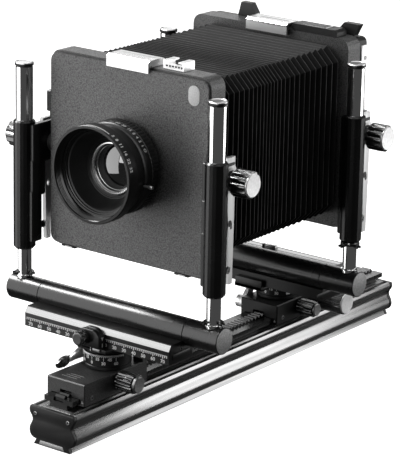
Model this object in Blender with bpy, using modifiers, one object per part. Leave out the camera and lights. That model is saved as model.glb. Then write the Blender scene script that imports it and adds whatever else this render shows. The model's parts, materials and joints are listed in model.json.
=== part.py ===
# Monorail view camera: rail, two sliding carriages, two standards, bellows and lens.
# X runs across, Y back along the rail, Z up. The origin is under the middle of the rail's foot.
# Drawing sizes are millimetres; y is counted from the lens board's face and shifted by the helpers.
import math

import bmesh
import bpy
from mathutils import Matrix, Vector

MM = 0.001
FACE_TO_ORIGIN = 138.5
GAP = 0.3

RAIL_FRONT = -92.5
RAIL_REAR = 369.5
CAP_THICK = 3.7
RAIL_TOP = 32.5
TRACK_HALF = 15.0
TRACK_TOP = 41.0
WEB_HALF = 9.0
RACK_HALF = 4.8
RACK_TOP = 43.2
TOOTH_PITCH = 5.0
TOOTH_DEPTH = 1.8

BLOCK_HALF = 20.0
BLOCK_FLOOR = 35.0
BLOCK_TOP = 54.0
TURRET_R = 20.0
TURRET_TOP = 68.0
HEAD_TOP = 73.7
PINION_R = 3.5
PINION_Z = 47.0
FRONT_PINION_Y = -31.0
REAR_PINION_Y = 252.0

TUBE_Z = 95.7
TUBE_R = 11.0
TUBE_HALF = 76.5
TUBE_END = 111.5
SHAFT_R = 7.0
POST_X = 100.0
ROD_R = 5.9
ROD_TOP = 262.0
SLEEVE_R = 9.3
POST_R = 7.2
CAP_R = 7.8

AXIS_Z = 221.3
AXIS_AHEAD = 22.5
PIN_R = 4.2
KNOB_R = 11.7
FRAME_Z = 219.5
FRAME_HALF_X = 82.5
FRAME_HALF_Z = 83.0
WINDOW_HALF = 67.0
FRAME_DEPTH = 17.7
FRONT_FRAME_Y = 3.3
REAR_FRAME_Y = 193.0
BOARD_HALF = 81.0
LENS_Z = 219.7

FRONT_TUBE_Y = -11.5
REAR_TUBE_Y = 180.0
FRONT_TURRET = 10.7
REAR_TURRET = 38.0
# Sleeve bottom, sleeve top, post top and stop collar of each standard's uprights.
FRONT_HEIGHTS = (131.1, 242.1, 285.2, TUBE_Z + TUBE_R + GAP)
REAR_HEIGHTS = (132.4, 243.4, 282.0, 127.6)


def fresh_collection(name):
    found = bpy.data.collections.get(name)
    if found is None:
        found = bpy.data.collections.new(name)
        bpy.context.scene.collection.children.link(found)
    return found


for old in list(bpy.data.objects):
    bpy.data.objects.remove(old, do_unlink=True)
PARTS = fresh_collection("view_camera")
TOOLS = fresh_collection("cutters")
MATERIALS = {}


def material(name, colour, rough, metal):
    shade = bpy.data.materials.new(name)
    shade.use_nodes = True
    skin = shade.node_tree.nodes["Principled BSDF"]
    skin.inputs["Base Color"].default_value = (*colour, 1.0)
    skin.inputs["Roughness"].default_value = rough
    skin.inputs["Metallic"].default_value = metal
    shade.diffuse_color = (*colour, 1.0)
    MATERIALS[name] = shade


material("rail_aluminium", (0.72, 0.72, 0.73), 0.3, 1.0)
material("black_anodised", (0.03, 0.03, 0.032), 0.4, 0.6)
material("black_paint", (0.025, 0.025, 0.027), 0.35, 0.0)
material("black_crinkle", (0.045, 0.045, 0.048), 0.7, 0.0)
material("black_plastic", (0.02, 0.02, 0.02), 0.5, 0.0)
material("chrome", (0.82, 0.82, 0.83), 0.12, 1.0)
material("satin_silver", (0.75, 0.75, 0.76), 0.3, 1.0)
material("rack_steel", (0.35, 0.35, 0.36), 0.35, 1.0)
material("bellows_cloth", (0.03, 0.03, 0.03), 0.8, 0.0)
material("lens_glass", (0.2, 0.22, 0.25), 0.05, 0.0)
material("ground_glass", (0.75, 0.77, 0.77), 0.6, 0.0)


def place(point):
    return Vector((point[0], point[1] - FACE_TO_ORIGIN, point[2])) * MM


def finish(ob, shade, bevel=0.0, segments=1, smooth=True, home=PARTS):
    ob.data.materials.clear()
    ob.data.materials.append(MATERIALS[shade] if shade else None)
    home.objects.link(ob)
    if smooth:
        ob.data.shade_smooth()
        ob.data.set_sharp_from_angle(angle=math.radians(35))
    if bevel:
        mod = ob.modifiers.new("edge", "BEVEL")
        mod.width = bevel * MM
        mod.segments = segments
        mod.limit_method = "ANGLE"
        mod.angle_limit = math.radians(40)
        mod.use_clamp_overlap = True
    return ob


def box(name, low, high, shade=None, bevel=0.0, home=PARTS):
    mesh = bpy.data.meshes.new(name)
    bm = bmesh.new()
    bmesh.ops.create_cube(bm, size=1.0)
    span = [(b - a) * MM for a, b in zip(low, high)]
    bmesh.ops.scale(bm, vec=span, verts=bm.verts)
    bm.to_mesh(mesh)
    bm.free()
    ob = bpy.data.objects.new(name, mesh)
    ob.location = place([(a + b) / 2 for a, b in zip(low, high)])
    return finish(ob, shade, bevel, home=home)


TURN = {
    "X": (0.0, math.pi / 2, 0.0),
    "Y": (-math.pi / 2, 0.0, 0.0),
    "Z": (0.0, 0.0, 0.0),
}


def rod(name, axis, centre, low, high, radius, shade=None, segments=24, bevel=0.0, home=PARTS):
    """A round bar along an axis, between two coordinates on that axis."""
    mesh = bpy.data.meshes.new(name)
    bm = bmesh.new()
    bmesh.ops.create_cone(bm, cap_ends=True, segments=segments, radius1=radius * MM,
                          radius2=radius * MM, depth=(high - low) * MM)
    bm.to_mesh(mesh)
    bm.free()
    ob = bpy.data.objects.new(name, mesh)
    spot = list(centre)
    spot["XYZ".index(axis)] = (low + high) / 2
    ob.location = place(spot)
    ob.rotation_euler = TURN[axis]
    return finish(ob, shade, bevel, home=home)


def turned(name, axis, centre, profile, shade=None, steps=24, ring=False, home=PARTS):
    """A turned shape. profile lists (radius, height along the axis) down the outer side."""
    mesh = bpy.data.meshes.new(name)
    verts = [(r * MM, 0.0, h * MM) for r, h in profile]
    edges = [(i, i + 1) for i in range(len(verts) - 1)]
    if ring:
        edges.append((len(verts) - 1, 0))
    mesh.from_pydata(verts, edges, [])
    ob = bpy.data.objects.new(name, mesh)
    ob.location = place(centre)
    ob.rotation_euler = TURN[axis]
    ob.data.materials.append(MATERIALS[shade] if shade else None)
    home.objects.link(ob)
    mod = ob.modifiers.new("turn", "SCREW")
    mod.axis = "Z"
    mod.angle = 2 * math.pi
    mod.steps = steps
    mod.render_steps = steps
    mod.use_merge_vertices = True
    mod.merge_threshold = 0.00001
    mod.use_smooth_shade = True
    return ob


PLANES = {
    "Z": Matrix(((1, 0, 0), (0, 1, 0), (0, 0, 1))),
    "Y": Matrix(((1, 0, 0), (0, 0, -1), (0, 1, 0))),
    "X": Matrix(((0, 0, 1), (1, 0, 0), (0, 1, 0))),
}


def plate(name, axis, loops, low, high, shade=None, bevel=0.0, home=PARTS):
    """A flat outline (outer loop, then holes) drawn across an axis and given thickness."""
    curve = bpy.data.curves.new(name, "CURVE")
    curve.dimensions = "2D"
    curve.fill_mode = "BOTH"
    curve.extrude = (high - low) / 2 * MM
    for loop in loops:
        line = curve.splines.new("POLY")
        line.points.add(len(loop) - 1)
        for spot, (a, b) in zip(line.points, loop):
            spot.co = (a * MM, b * MM, 0.0, 1.0)
        line.use_cyclic_u = True
    draft = bpy.data.objects.new(name + "_draft", curve)
    bpy.context.scene.collection.objects.link(draft)
    bpy.context.view_layer.update()
    seen = draft.evaluated_get(bpy.context.evaluated_depsgraph_get())
    mesh = bpy.data.meshes.new_from_object(seen)
    bpy.data.objects.remove(draft, do_unlink=True)
    bm = bmesh.new()
    bm.from_mesh(mesh)
    bmesh.ops.remove_doubles(bm, verts=bm.verts, dist=1e-6)
    bmesh.ops.dissolve_limit(bm, angle_limit=0.001, verts=bm.verts, edges=bm.edges)
    bmesh.ops.triangulate(bm, faces=bm.faces)
    bmesh.ops.recalc_face_normals(bm, faces=bm.faces)
    bm.to_mesh(mesh)
    bm.free()
    mesh.name = name
    ob = bpy.data.objects.new(name, mesh)
    turn = PLANES[axis]
    spot = [0.0, FACE_TO_ORIGIN, 0.0]
    spot["XYZ".index(axis)] = (low + high) / 2
    ob.matrix_world = Matrix.Translation(place(spot)) @ turn.to_4x4()
    return finish(ob, shade, bevel, home=home)


def cut(ob, *tools):
    for tool in tools:
        tool.hide_render = True
        tool.display_type = "WIRE"
        mod = ob.modifiers.new("cut", "BOOLEAN")
        mod.operation = "DIFFERENCE"
        mod.solver = "EXACT"
        mod.object = tool
    return ob


def join(ob, *tools):
    for tool in tools:
        tool.hide_render = True
        tool.display_type = "WIRE"
        mod = ob.modifiers.new("join", "BOOLEAN")
        mod.operation = "UNION"
        mod.solver = "EXACT"
        mod.object = tool
    return ob


def rounded(half_x, half_z, radius, mid_x=0.0, mid_z=0.0, steps=4):
    points = []
    for sx, sz, start in ((1, 1, 0), (-1, 1, 90), (-1, -1, 180), (1, -1, 270)):
        for i in range(steps + 1):
            angle = math.radians(start + 90.0 * i / steps)
            points.append((mid_x + sx * (half_x - radius) + radius * math.cos(angle),
                           mid_z + sz * (half_z - radius) + radius * math.sin(angle)))
    return points


def circle(mid_a, mid_b, radius, steps=32):
    return [(mid_a + radius * math.cos(2 * math.pi * i / steps),
             mid_b + radius * math.sin(2 * math.pi * i / steps)) for i in range(steps)]


def arc(mid_a, mid_b, radius, start, stop, steps):
    points = []
    for i in range(steps + 1):
        angle = math.radians(start + (stop - start) * i / steps)
        points.append((mid_a + radius * math.cos(angle), mid_b + radius * math.sin(angle)))
    return points


def rail_outline(grow=0.0):
    """Dovetail foot, two round lobes with a waist between them, flat top."""
    half = [(19.0, 0.0), (16.4, 4.6), (19.6, 5.2), (22.3, 7.4), (23.5, 11.0), (22.9, 14.8),
            (20.9, 18.6), (20.2, 21.0), (20.9, 23.6), (22.9, 26.6), (23.5, 29.4), (22.6, RAIL_TOP)]
    right = [(x + grow, z) for x, z in half]
    left = [(-x, z) for x, z in reversed(right)]
    return right + left


def build_rail():
    plate("rail_extrusion", "Y", [rail_outline()], RAIL_FRONT + CAP_THICK + GAP,
          RAIL_REAR - CAP_THICK - GAP, "rail_aluminium")
    cap = rail_outline(0.2)
    plate("rail_front_cap", "Y", [cap], RAIL_FRONT, RAIL_FRONT + CAP_THICK, "black_plastic")
    plate("rail_rear_cap", "Y", [cap], RAIL_REAR - CAP_THICK, RAIL_REAR, "black_plastic")
    low = RAIL_TOP + GAP
    web_top = TRACK_TOP - 4.0
    slot = RACK_HALF + GAP
    tee = [(WEB_HALF, low), (WEB_HALF, web_top), (TRACK_HALF, web_top), (TRACK_HALF, TRACK_TOP),
           (slot, TRACK_TOP), (slot, TRACK_TOP - 2.8), (-slot, TRACK_TOP - 2.8), (-slot, TRACK_TOP),
           (-TRACK_HALF, TRACK_TOP), (-TRACK_HALF, web_top), (-WEB_HALF, web_top), (-WEB_HALF, low)]
    plate("rail_track", "Y", [tee], RAIL_FRONT + 8.5, RAIL_REAR - 5.5, "black_anodised")
    start = RAIL_FRONT + 10.0
    stop = RAIL_REAR - 7.0
    count = int((stop - start) / TOOTH_PITCH)
    teeth = []
    for i in range(count):
        y = start + i * TOOTH_PITCH
        teeth += [(y, RACK_TOP - TOOTH_DEPTH), (y + 1.4, RACK_TOP), (y + 3.0, RACK_TOP),
                  (y + 4.4, RACK_TOP - TOOTH_DEPTH)]
    end = start + count * TOOTH_PITCH
    base = TRACK_TOP - 2.8 + GAP
    outline = teeth + [(end, RACK_TOP - TOOTH_DEPTH), (end, base), (start, base)]
    outline = [(y - FACE_TO_ORIGIN, z) for y, z in outline]
    plate("gear_rack", "X", [outline], -RACK_HALF, RACK_HALF, "rack_steel")


def carriage(side, low, high, pinion_y, knob_bores):
    """Saddle block gripping the track, with the rack slot and the pinion space cut in it."""
    block = box(side + "_carriage", (-BLOCK_HALF, low, BLOCK_FLOOR), (BLOCK_HALF, high, BLOCK_TOP),
                "black_paint", 0.8)
    wide = TRACK_HALF + 0.4
    neck = WEB_HALF + 0.4
    over = TRACK_TOP + 0.4
    under = TRACK_TOP - 4.4
    slot = [(neck, BLOCK_FLOOR - 5), (neck, under), (wide, under), (wide, over), (6.2, over), (6.2, 45.5),
            (-6.2, 45.5), (-6.2, over), (-wide, over), (-wide, under), (-neck, under),
            (-neck, BLOCK_FLOOR - 5)]
    channel = plate(side + "_channel", "Y", [slot], low - 5, high + 5, home=TOOLS)
    cavity = rod(side + "_cavity", "X", (0, pinion_y, PINION_Z), -6.2, 6.2, PINION_R + 0.4, home=TOOLS,
                 segments=24)
    cut(block, channel, cavity)
    for number, (bore_y, bore_z, radius, end) in enumerate(knob_bores):
        cut(block, rod(side + "_bore_%d" % number, "X", (0, bore_y, bore_z), end, BLOCK_HALF + 3, radius,
                       home=TOOLS, segments=20))
    return block


def turret(side, turret_y):
    """Graduated ring standing on the saddle, bored for the swing head's spigot."""
    profile = [(9.0, TURRET_TOP), (TURRET_R - 1.2, TURRET_TOP), (TURRET_R - 0.4, TURRET_TOP - 0.8),
               (TURRET_R, BLOCK_TOP + 2.0), (TURRET_R - 0.6, BLOCK_TOP + GAP), (9.0, BLOCK_TOP + GAP)]
    turned(side + "_turret", "Z", (0, turret_y, 0), profile, "black_paint", 28, ring=True)


def swing_head(side, sign, tube_y, turret_y):
    """Disc and spigot on the turret, the bed under the shift bar and the clamp housing."""
    profile = [(0.0, HEAD_TOP), (14.5, HEAD_TOP), (15.5, 72.7), (18.6, 72.2), (19.2, 71.6),
               (19.2, TURRET_TOP + GAP), (8.6, TURRET_TOP + GAP), (8.6, BLOCK_TOP + 1.5),
               (0.0, BLOCK_TOP + 1.5)]
    head = turned(side + "_swing_head", "Z", (0, turret_y, 0), profile, "black_paint", 28)
    near = tube_y + sign * (-8.5)
    far = tube_y + sign * 31.5
    bed = box(side + "_bed", (-15, min(near, far), 70.2), (15, max(near, far), HEAD_TOP), bevel=0.5,
              home=TOOLS)
    lip_far = tube_y - sign * 4.5
    lip = box(side + "_lip", (-14.5, min(near, lip_far), 70.6), (14.5, max(near, lip_far), 79.5),
              home=TOOLS)
    inner = tube_y + sign * 26.9
    crown = [(-11.5, 71.0), (11.5, 71.0), (11.5, 85.0)]
    crown += arc(5.2, 85.0, 6.3, 0, 75, 4)
    crown += [(0.0, 90.3)]
    crown += arc(-5.2, 85.0, 6.3, 105, 180, 4)
    house = plate(side + "_housing", "Y", [crown], min(inner, far), max(inner, far),
                  bevel=0.6, home=TOOLS)
    face = tube_y + sign * 35.5
    root = tube_y + sign * 30.5
    nose = plate(side + "_nose", "Y", [[(-13.5, 75.2), (11.5, 75.2), (11.5, 85.0), (6.0, 90.0), (-8.0, 90.0),
                                        (-13.5, 84.0)]], min(root, face), max(root, face), bevel=0.8,
                 home=TOOLS)
    join(head, bed, lip, house, nose)
    stud = rod(side + "_stud_bore", "Y", (-4, 0, 83), min(inner, face) - 2, max(inner, face) + 2, 2.6,
               home=TOOLS, segments=16)
    cut(head, stud)


def shift_bar(side, sign, tube_y, top):
    """Extruded bar with a chamfered scale face and a round cradle for the cross tube."""
    drop = top - TUBE_Z
    begin = math.degrees(math.atan2(drop, math.sqrt(11.3 ** 2 - drop ** 2)))
    cradle = arc(0.0, TUBE_Z, 11.3, begin, -112, 10)
    shape = [(-4.2, 78.5), (0.0, 74.0), (26.5, 74.0), (26.5, top - 3.5), (23.5, top)] + cradle
    outline = [(tube_y + sign * u - FACE_TO_ORIGIN, v) for u, v in shape]
    plate(side + "_shift_bar", "X", [outline], -TUBE_HALF, TUBE_HALF, "black_anodised")


def cross_tube(side, tube_y):
    ring = [(TUBE_R, TUBE_HALF), (TUBE_R, -TUBE_HALF), (SHAFT_R + GAP, -TUBE_HALF),
            (SHAFT_R + GAP, TUBE_HALF)]
    turned(side + "_cross_tube", "X", (0, tube_y, TUBE_Z), ring, "black_anodised", 24, ring=True)
    start = TUBE_HALF + GAP
    left = [(0.0, 88.0), (SHAFT_R, 88.0), (SHAFT_R, -start), (TUBE_R, -start), (TUBE_R, -TUBE_END + 0.8),
            (TUBE_R - 0.8, -TUBE_END), (0.0, -TUBE_END)]
    end = turned(side + "_tube_end_left", "X", (0, tube_y, TUBE_Z), left, "black_anodised", 24)
    cut(end, rod(side + "_socket_left", "Z", (-POST_X, tube_y, 0), 90, 125, ROD_R + GAP, home=TOOLS,
                 segments=24))
    right = [(0.0, TUBE_END), (TUBE_R - 0.8, TUBE_END), (TUBE_R, TUBE_END - 0.8), (TUBE_R, start),
             (SHAFT_R + GAP, start), (SHAFT_R + GAP, 88.0 + GAP), (0.0, 88.0 + GAP)]
    end = turned(side + "_tube_end_right", "X", (0, tube_y, TUBE_Z), right, "black_anodised", 24)
    cut(end, rod(side + "_socket_right", "Z", (POST_X, tube_y, 0), 90, 125, ROD_R + GAP, home=TOOLS,
                 segments=24))


def uprights(side, tube_y, hand, mirror, heights):
    """Rod with its stop collar, the sleeve with its pivot web, the capped tube and the side bar."""
    x = mirror * POST_X
    sleeve_low, sleeve_top, post_top, collar_low = heights
    rod_shape = [(0.0, ROD_TOP), (ROD_R - 0.6, ROD_TOP), (ROD_R, ROD_TOP - 0.6),
                 (ROD_R, collar_low + 4.0), (8.4, collar_low + 3.4), (8.4, collar_low),
                 (ROD_R, collar_low), (ROD_R, 90.6), (0.0, 90.6)]
    turned("%s_rod_%s" % (side, hand), "Z", (x, tube_y, 0), rod_shape, "chrome", 18)
    post = [(0.0, post_top + 6.0), (CAP_R - 2.5, post_top + 6.0), (CAP_R, post_top + 4.2),
            (CAP_R, post_top + 1.0), (POST_R, post_top), (POST_R, sleeve_low + 2.0),
            (ROD_R + GAP, sleeve_low + 2.0), (ROD_R + GAP, post_top), (0.0, post_top)]
    turned("%s_post_%s" % (side, hand), "Z", (x, tube_y, 0), post, "chrome", 18)
    shell = [(0.0, sleeve_top), (SLEEVE_R - 1.5, sleeve_top), (SLEEVE_R, sleeve_top - 1.5),
             (SLEEVE_R, sleeve_low + 2.0), (SLEEVE_R - 1.8, sleeve_low), (0.0, sleeve_low)]
    sleeve = turned("%s_sleeve_%s" % (side, hand), "Z", (x, tube_y, 0), shell, "black_paint", 20)
    inside = mirror * 87.5
    outside = mirror * 93.9
    low = min(inside, outside)
    high = max(inside, outside)
    tag = "%s_%s" % (side, hand)
    web = box(tag + "_web", (low, tube_y - 2.5, 205.5), (high, tube_y + 29.5, sleeve_top - 2.6),
              bevel=0.8, home=TOOLS)
    rib = box(tag + "_rib", (low + 0.25, tube_y - 3.0, 177.5), (high - 0.25, tube_y + 13.0, 209.0),
              bevel=0.8, home=TOOLS)
    tail = box(tag + "_tail", (low + 0.6, tube_y - 3.5, 138.0), (high - 0.6, tube_y + 9.0, 182.5),
               bevel=0.8, home=TOOLS)
    bore = rod("%s_bore_%s" % (side, hand), "Z", (x, tube_y, 0), sleeve_low - 5, sleeve_top + 5,
               POST_R + GAP, home=TOOLS, segments=24)
    axis_y = tube_y + AXIS_AHEAD
    pin_bore = rod("%s_pivot_%s" % (side, hand), "X", (0, axis_y, AXIS_Z), min(mirror * 80, mirror * 105),
                   max(mirror * 80, mirror * 105), PIN_R + GAP, home=TOOLS, segments=20)
    join(sleeve, web, rib, tail)
    cut(sleeve, bore, pin_bore)
    near = mirror * 94.2
    out = mirror * 97.8
    mid = axis_y - FACE_TO_ORIGIN
    eye = AXIS_Z - 6.0
    brow = AXIS_Z + 6.0
    blade = [(mid - 1.0, 135.0), (mid + 4.0, 135.0), (mid + 4.9, 190.0), (mid + 4.9, eye - 6.0),
             (mid + 7.6, eye), (mid + 7.6, brow), (mid + 4.9, brow + 6.0), (mid + 4.9, 240.6),
             (mid - 5.4, 240.6), (mid - 8.8, brow), (mid - 8.8, eye), (mid - 5.4, eye - 8.0),
             (mid - 3.0, 190.0)]
    slot = [(mid + 0.9 + 1.6 * math.cos(a * math.pi / 6), 184.0 + 3.2 * math.sin(a * math.pi / 6))
            for a in range(12)]
    bar = plate("%s_bracket_%s" % (side, hand), "X", [blade, slot], min(near, out), max(near, out),
                "satin_silver")
    hole = rod("%s_ear_bore_%s" % (side, hand), "X", (0, axis_y, AXIS_Z), min(near, out) - 2,
               max(near, out) + 2, PIN_R + GAP, home=TOOLS, segments=20)
    cut(bar, hole)


def fluted(name, axis, centre, low, high, radius, shade, lobes, cap_r, outward, stem_r, stem_to):
    """Fluted knob along an axis with a shallow cap on its outer end and a stem behind it."""
    points = []
    for i in range(lobes * 2):
        angle = math.pi * i / lobes
        r = radius if i % 2 == 0 else radius - 0.8
        points.append((r * math.cos(angle), r * math.sin(angle)))
    if axis == "X":
        spot = [(centre[1] - FACE_TO_ORIGIN + a, centre[2] + b) for a, b in points]
    else:
        spot = [(centre[0] + a, centre[2] + b) for a, b in points]
    knob = plate(name, axis, [spot], low, high, shade)
    face = high if outward > 0 else low
    root = low if outward > 0 else high
    ends = sorted((face - outward * 1.0, face + outward * 1.2))
    cap = rod(name + "_cap", axis, centre, ends[0], ends[1], cap_r, home=TOOLS, segments=20)
    ends = sorted((root + outward * 1.0, stem_to))
    stem = rod(name + "_stem", axis, centre, ends[0], ends[1], stem_r, home=TOOLS, segments=16)
    join(knob, cap, stem)
    return knob


def focus_knob(side, pinion_y, length, radius, cap_r):
    """Knob, its shaft and the pinion over the rack."""
    low = BLOCK_HALF + 0.5
    knob = fluted(side + "_focus_knob", "X", (0, pinion_y, PINION_Z), low, low + length, radius,
                  "black_paint", 14, cap_r, 1, 2.4, -5.6)
    gear = []
    for i in range(10):
        for turn, r in ((0.0, PINION_R), (0.35, PINION_R), (0.6, PINION_R - 0.9)):
            angle = 2 * math.pi * (i + turn) / 10
            gear.append((pinion_y - FACE_TO_ORIGIN + r * math.cos(angle),
                         PINION_Z + r * math.sin(angle)))
    pinion = plate(side + "_pinion", "X", [gear], -5.4, 5.4, home=TOOLS)
    join(knob, pinion)


def frame_ring(side, low, axis_y):
    ring = plate(side + "_frame", "Y", [rounded(FRAME_HALF_X, FRAME_HALF_Z, 9.0, 0.0, FRAME_Z),
                                       rounded(WINDOW_HALF, WINDOW_HALF, 4.0, 0.0, FRAME_Z, 2)],
                 low, low + FRAME_DEPTH, "black_crinkle")
    for mirror, hand in ((-1, "left"), (1, "right")):
        lug = rod("%s_lug_%s" % (side, hand), "X", (0, axis_y, AXIS_Z), min(mirror * 81.6, mirror * 87.2),
                  max(mirror * 81.6, mirror * 87.2), 8.8, home=TOOLS, segments=24)
        pin = rod("%s_pin_%s" % (side, hand), "X", (0, axis_y, AXIS_Z), min(mirror * 84, mirror * 97.8),
                  max(mirror * 84, mirror * 97.8), PIN_R, home=TOOLS, segments=20)
        join(ring, lug, pin)
    return ring


def tilt_knobs(side, axis_y):
    for mirror, hand in ((-1, "left"), (1, "right")):
        near, far = (114.3, 131.8) if mirror < 0 else (103.5, 118.6)
        fluted("%s_tilt_knob_%s" % (side, hand), "X", (0, axis_y, AXIS_Z), min(mirror * near, mirror * far),
               max(mirror * near, mirror * far), KNOB_R, "black_paint", 12, 9.8, mirror, 7.2,
               mirror * 98.2)


def slide_lock(side, frame_y, low_x, high_x):
    """Flat slab on the frame's top with a lip that hangs in front of the plate it holds."""
    front = frame_y - 5.8
    rear = frame_y + FRAME_DEPTH - 0.5
    slab = [(front, 298.5), (front + 2.2, 298.5), (front + 2.2, 302.9), (rear, 302.9), (rear, 306.6),
            (frame_y + 13.0, 308.6), (front + 2.0, 308.6), (front, 306.9)]
    slab = [(y - FACE_TO_ORIGIN, z) for y, z in slab]
    plate(side + "_lock", "X", [slab], low_x, high_x, "satin_silver")


def lens_turning(name, profile, shade, steps, ring):
    """Turned on the lens axis; profile lists (radius, distance in front of the board's face)."""
    points = [(radius, -ahead) for radius, ahead in reversed(profile)]
    turned(name, "Y", (0, 0, LENS_Z), points, shade, steps, ring=ring)


def front_standard():
    axis_y = FRONT_TUBE_Y + AXIS_AHEAD
    ring = frame_ring("front", FRONT_FRAME_Y, axis_y)
    side_block = box("front_side_block", (-87.0, 5.0, 242.0), (-81.5, 18.0, 266.0), bevel=0.6, home=TOOLS)
    shoulder = box("front_shoulder", (-91.0, 5.8, 247.5), (-82.5, 17.2, 265.2), bevel=0.6, home=TOOLS)
    clip_a = box("front_clip_a", (-68.0, -1.2, 136.8), (-53.5, 5.0, 138.0), home=TOOLS)
    clip_b = box("front_clip_b", (51.5, -1.2, 136.8), (66.0, 5.0, 138.0), home=TOOLS)
    join(ring, side_block, shoulder, clip_a, clip_b)
    tilt_knobs("front", axis_y)
    slide_lock("front", FRONT_FRAME_Y, -20.0, 23.0)
    plate("lens_board", "Y", [rounded(BOARD_HALF, BOARD_HALF, 7.0, 0.0, FRAME_Z),
                              circle(0.0, LENS_Z, 30.0, 32)], 0.0, 3.0, "black_crinkle")
    channel = [(31.0, 302.8), (52.0, 302.8), (52.0, 310.0), (46.5, 310.0), (46.5, 308.8), (50.4, 308.8),
               (50.4, 304.0), (32.6, 304.0), (32.6, 308.8), (36.5, 308.8), (36.5, 310.0), (31.0, 310.0)]
    plate("accessory_shoe", "Y", [channel], 6.5, 20.5, "satin_silver")
    shutter = [(27.4, 22.0), (36.4, 22.0), (38.4, 20.6), (39.0, 16.0), (39.0, 7.0), (36.8, 3.0),
               (29.4, 0.4), (29.4, -4.6), (23.2, -4.6), (23.2, 12.4), (27.4, 12.4)]
    lens_turning("lens_shutter", shutter, "black_paint", 36, True)
    barrel = [(39.6, 46.0), (40.5, 45.3), (40.5, 35.0), (36.6, 32.5), (36.6, 22.4), (27.0, 22.4),
              (27.0, 12.8), (22.8, 12.8), (22.8, -18.0), (18.5, -18.0), (18.5, 10.6), (20.8, 10.6),
              (20.8, 16.0), (22.6, 17.5), (33.6, 40.0), (36.8, 42.0), (37.6, 46.0)]
    lens_turning("lens_barrel", barrel, "black_paint", 36, True)
    glass = [(0.0, 20.2), (8.0, 19.5), (15.0, 17.6), (20.4, 15.0), (20.4, 11.0), (0.0, 11.0)]
    lens_turning("lens_glass", glass, "lens_glass", 24, False)
    tab = [(37.0, 211.8), (45.2, 211.0), (46.3, 212.4), (45.2, 214.2), (37.0, 214.8)]
    plate("aperture_lever", "Y", [tab], -25.4, -22.4, "satin_silver")


def rear_standard():
    axis_y = REAR_TUBE_Y + AXIS_AHEAD
    frame_ring("rear", REAR_FRAME_Y, axis_y)
    tilt_knobs("rear", axis_y)
    slide_lock("rear", REAR_FRAME_Y, -21.0, 22.0)
    level = [(24.0, 302.8), (70.0, 302.8), (70.0, 306.6), (67.5, 308.6), (24.0, 308.6)]
    plate("rear_level", "Y", [level], 193.5, 207.5, "black_paint")
    low = REAR_FRAME_Y + FRAME_DEPTH + 0.6
    outer = rounded(81.0, 81.0, 5.0, 0.0, FRAME_Z, 3)
    view = rounded(60.0, 48.0, 3.0, 0.0, FRAME_Z, 2)
    seat = rounded(64.6, 52.6, 3.0, 0.0, FRAME_Z, 2)
    pane = rounded(64.2, 52.2, 2.8, 0.0, FRAME_Z, 2)
    back = plate("spring_back", "Y", [outer, view], low, low + 11.5, "black_paint")
    rebate = plate("back_rebate", "Y", [seat], low - 3.0, low + 4.0, home=TOOLS)
    ears = []
    for tag, a, b, top, lean, slope in (("left", -48.0, -26.0, 314.5, 3.0, 8.0),
                                        ("right", 56.0, 75.0, 312.0, 8.0, -5.0)):
        shape = [(a, 298.0), (b, 298.0), (b, 302.0), (b - slope, top), (a + lean, top), (a, 303.0)]
        ears.append(plate("back_ear_" + tag, "Y", [shape], low + 1.0, low + 7.0, home=TOOLS))
    cut(back, rebate)
    join(back, *ears)
    plate("ground_glass", "Y", [pane], low + 0.5, low + 3.6, "ground_glass")


def bellows():
    def loop(half, high, low, chamfer):
        flat = half - chamfer
        return [(half, low + chamfer), (half, high - chamfer), (flat, high), (-flat, high),
                (-half, high - chamfer), (-half, low + chamfer), (-flat, low), (flat, low)]

    plate("bellows", "Y", [loop(76.0, 297.0, 147.0, 10.0), loop(66.0, 287.0, 157.0, 6.0)],
          FRONT_FRAME_Y + FRAME_DEPTH + GAP, REAR_FRAME_Y - GAP, "bellows_cloth")


def support(side, sign, tube_y, turret_y, bar_top, heights):
    turret(side, turret_y)
    swing_head(side, sign, tube_y, turret_y)
    shift_bar(side, sign, tube_y, bar_top)
    cross_tube(side, tube_y)
    uprights(side, tube_y, "left", -1, heights)
    uprights(side, tube_y, "right", 1, heights)
    near = tube_y + sign * 35.9
    far = tube_y + sign * 44.3
    inner = tube_y + sign * 27.4
    fluted(side + "_shift_knob", "Y", (-4, 0, 83), min(near, far), max(near, far), 6.0, "black_paint", 12,
           4.6, sign, 2.2, inner)


def front_support():
    turret_y = FRONT_TUBE_Y - FRONT_TURRET
    block = carriage("front", -75.0, 5.5, FRONT_PINION_Y, [(FRONT_PINION_Y, PINION_Z, 2.7, -5.9)])
    riser = box("front_riser", (9.5, -1.0, 50.0), (BLOCK_HALF, 5.5, 61.0), bevel=0.6, home=TOOLS)
    join(block, riser)
    support("front", -1, FRONT_TUBE_Y, turret_y, 90.8, FRONT_HEIGHTS)
    focus_knob("front", FRONT_PINION_Y, 19.5, 8.5, 6.6)
    hub = (-25.0, 61.0)
    arm = [(hub[0] + 5.5 * math.cos(math.radians(a)), hub[1] + 5.5 * math.sin(math.radians(a)))
           for a in range(-90, 131, 20)]
    fall = math.radians(20)
    for along, off in ((14.0, 2.4), (18.0, 2.4), (20.0, 4.2), (30.5, 4.0), (33.0, 0.4), (30.5, -3.6),
                       (20.0, -4.0), (18.0, -2.4), (14.0, -2.4)):
        arm.append((hub[0] - along * math.cos(fall) - off * math.sin(fall),
                    hub[1] - along * math.sin(fall) + off * math.cos(fall)))
    arm = [(y - FACE_TO_ORIGIN, z) for y, z in arm]
    plate("front_swing_lever", "X", [arm], -25.2, -20.8, "satin_silver")


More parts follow.
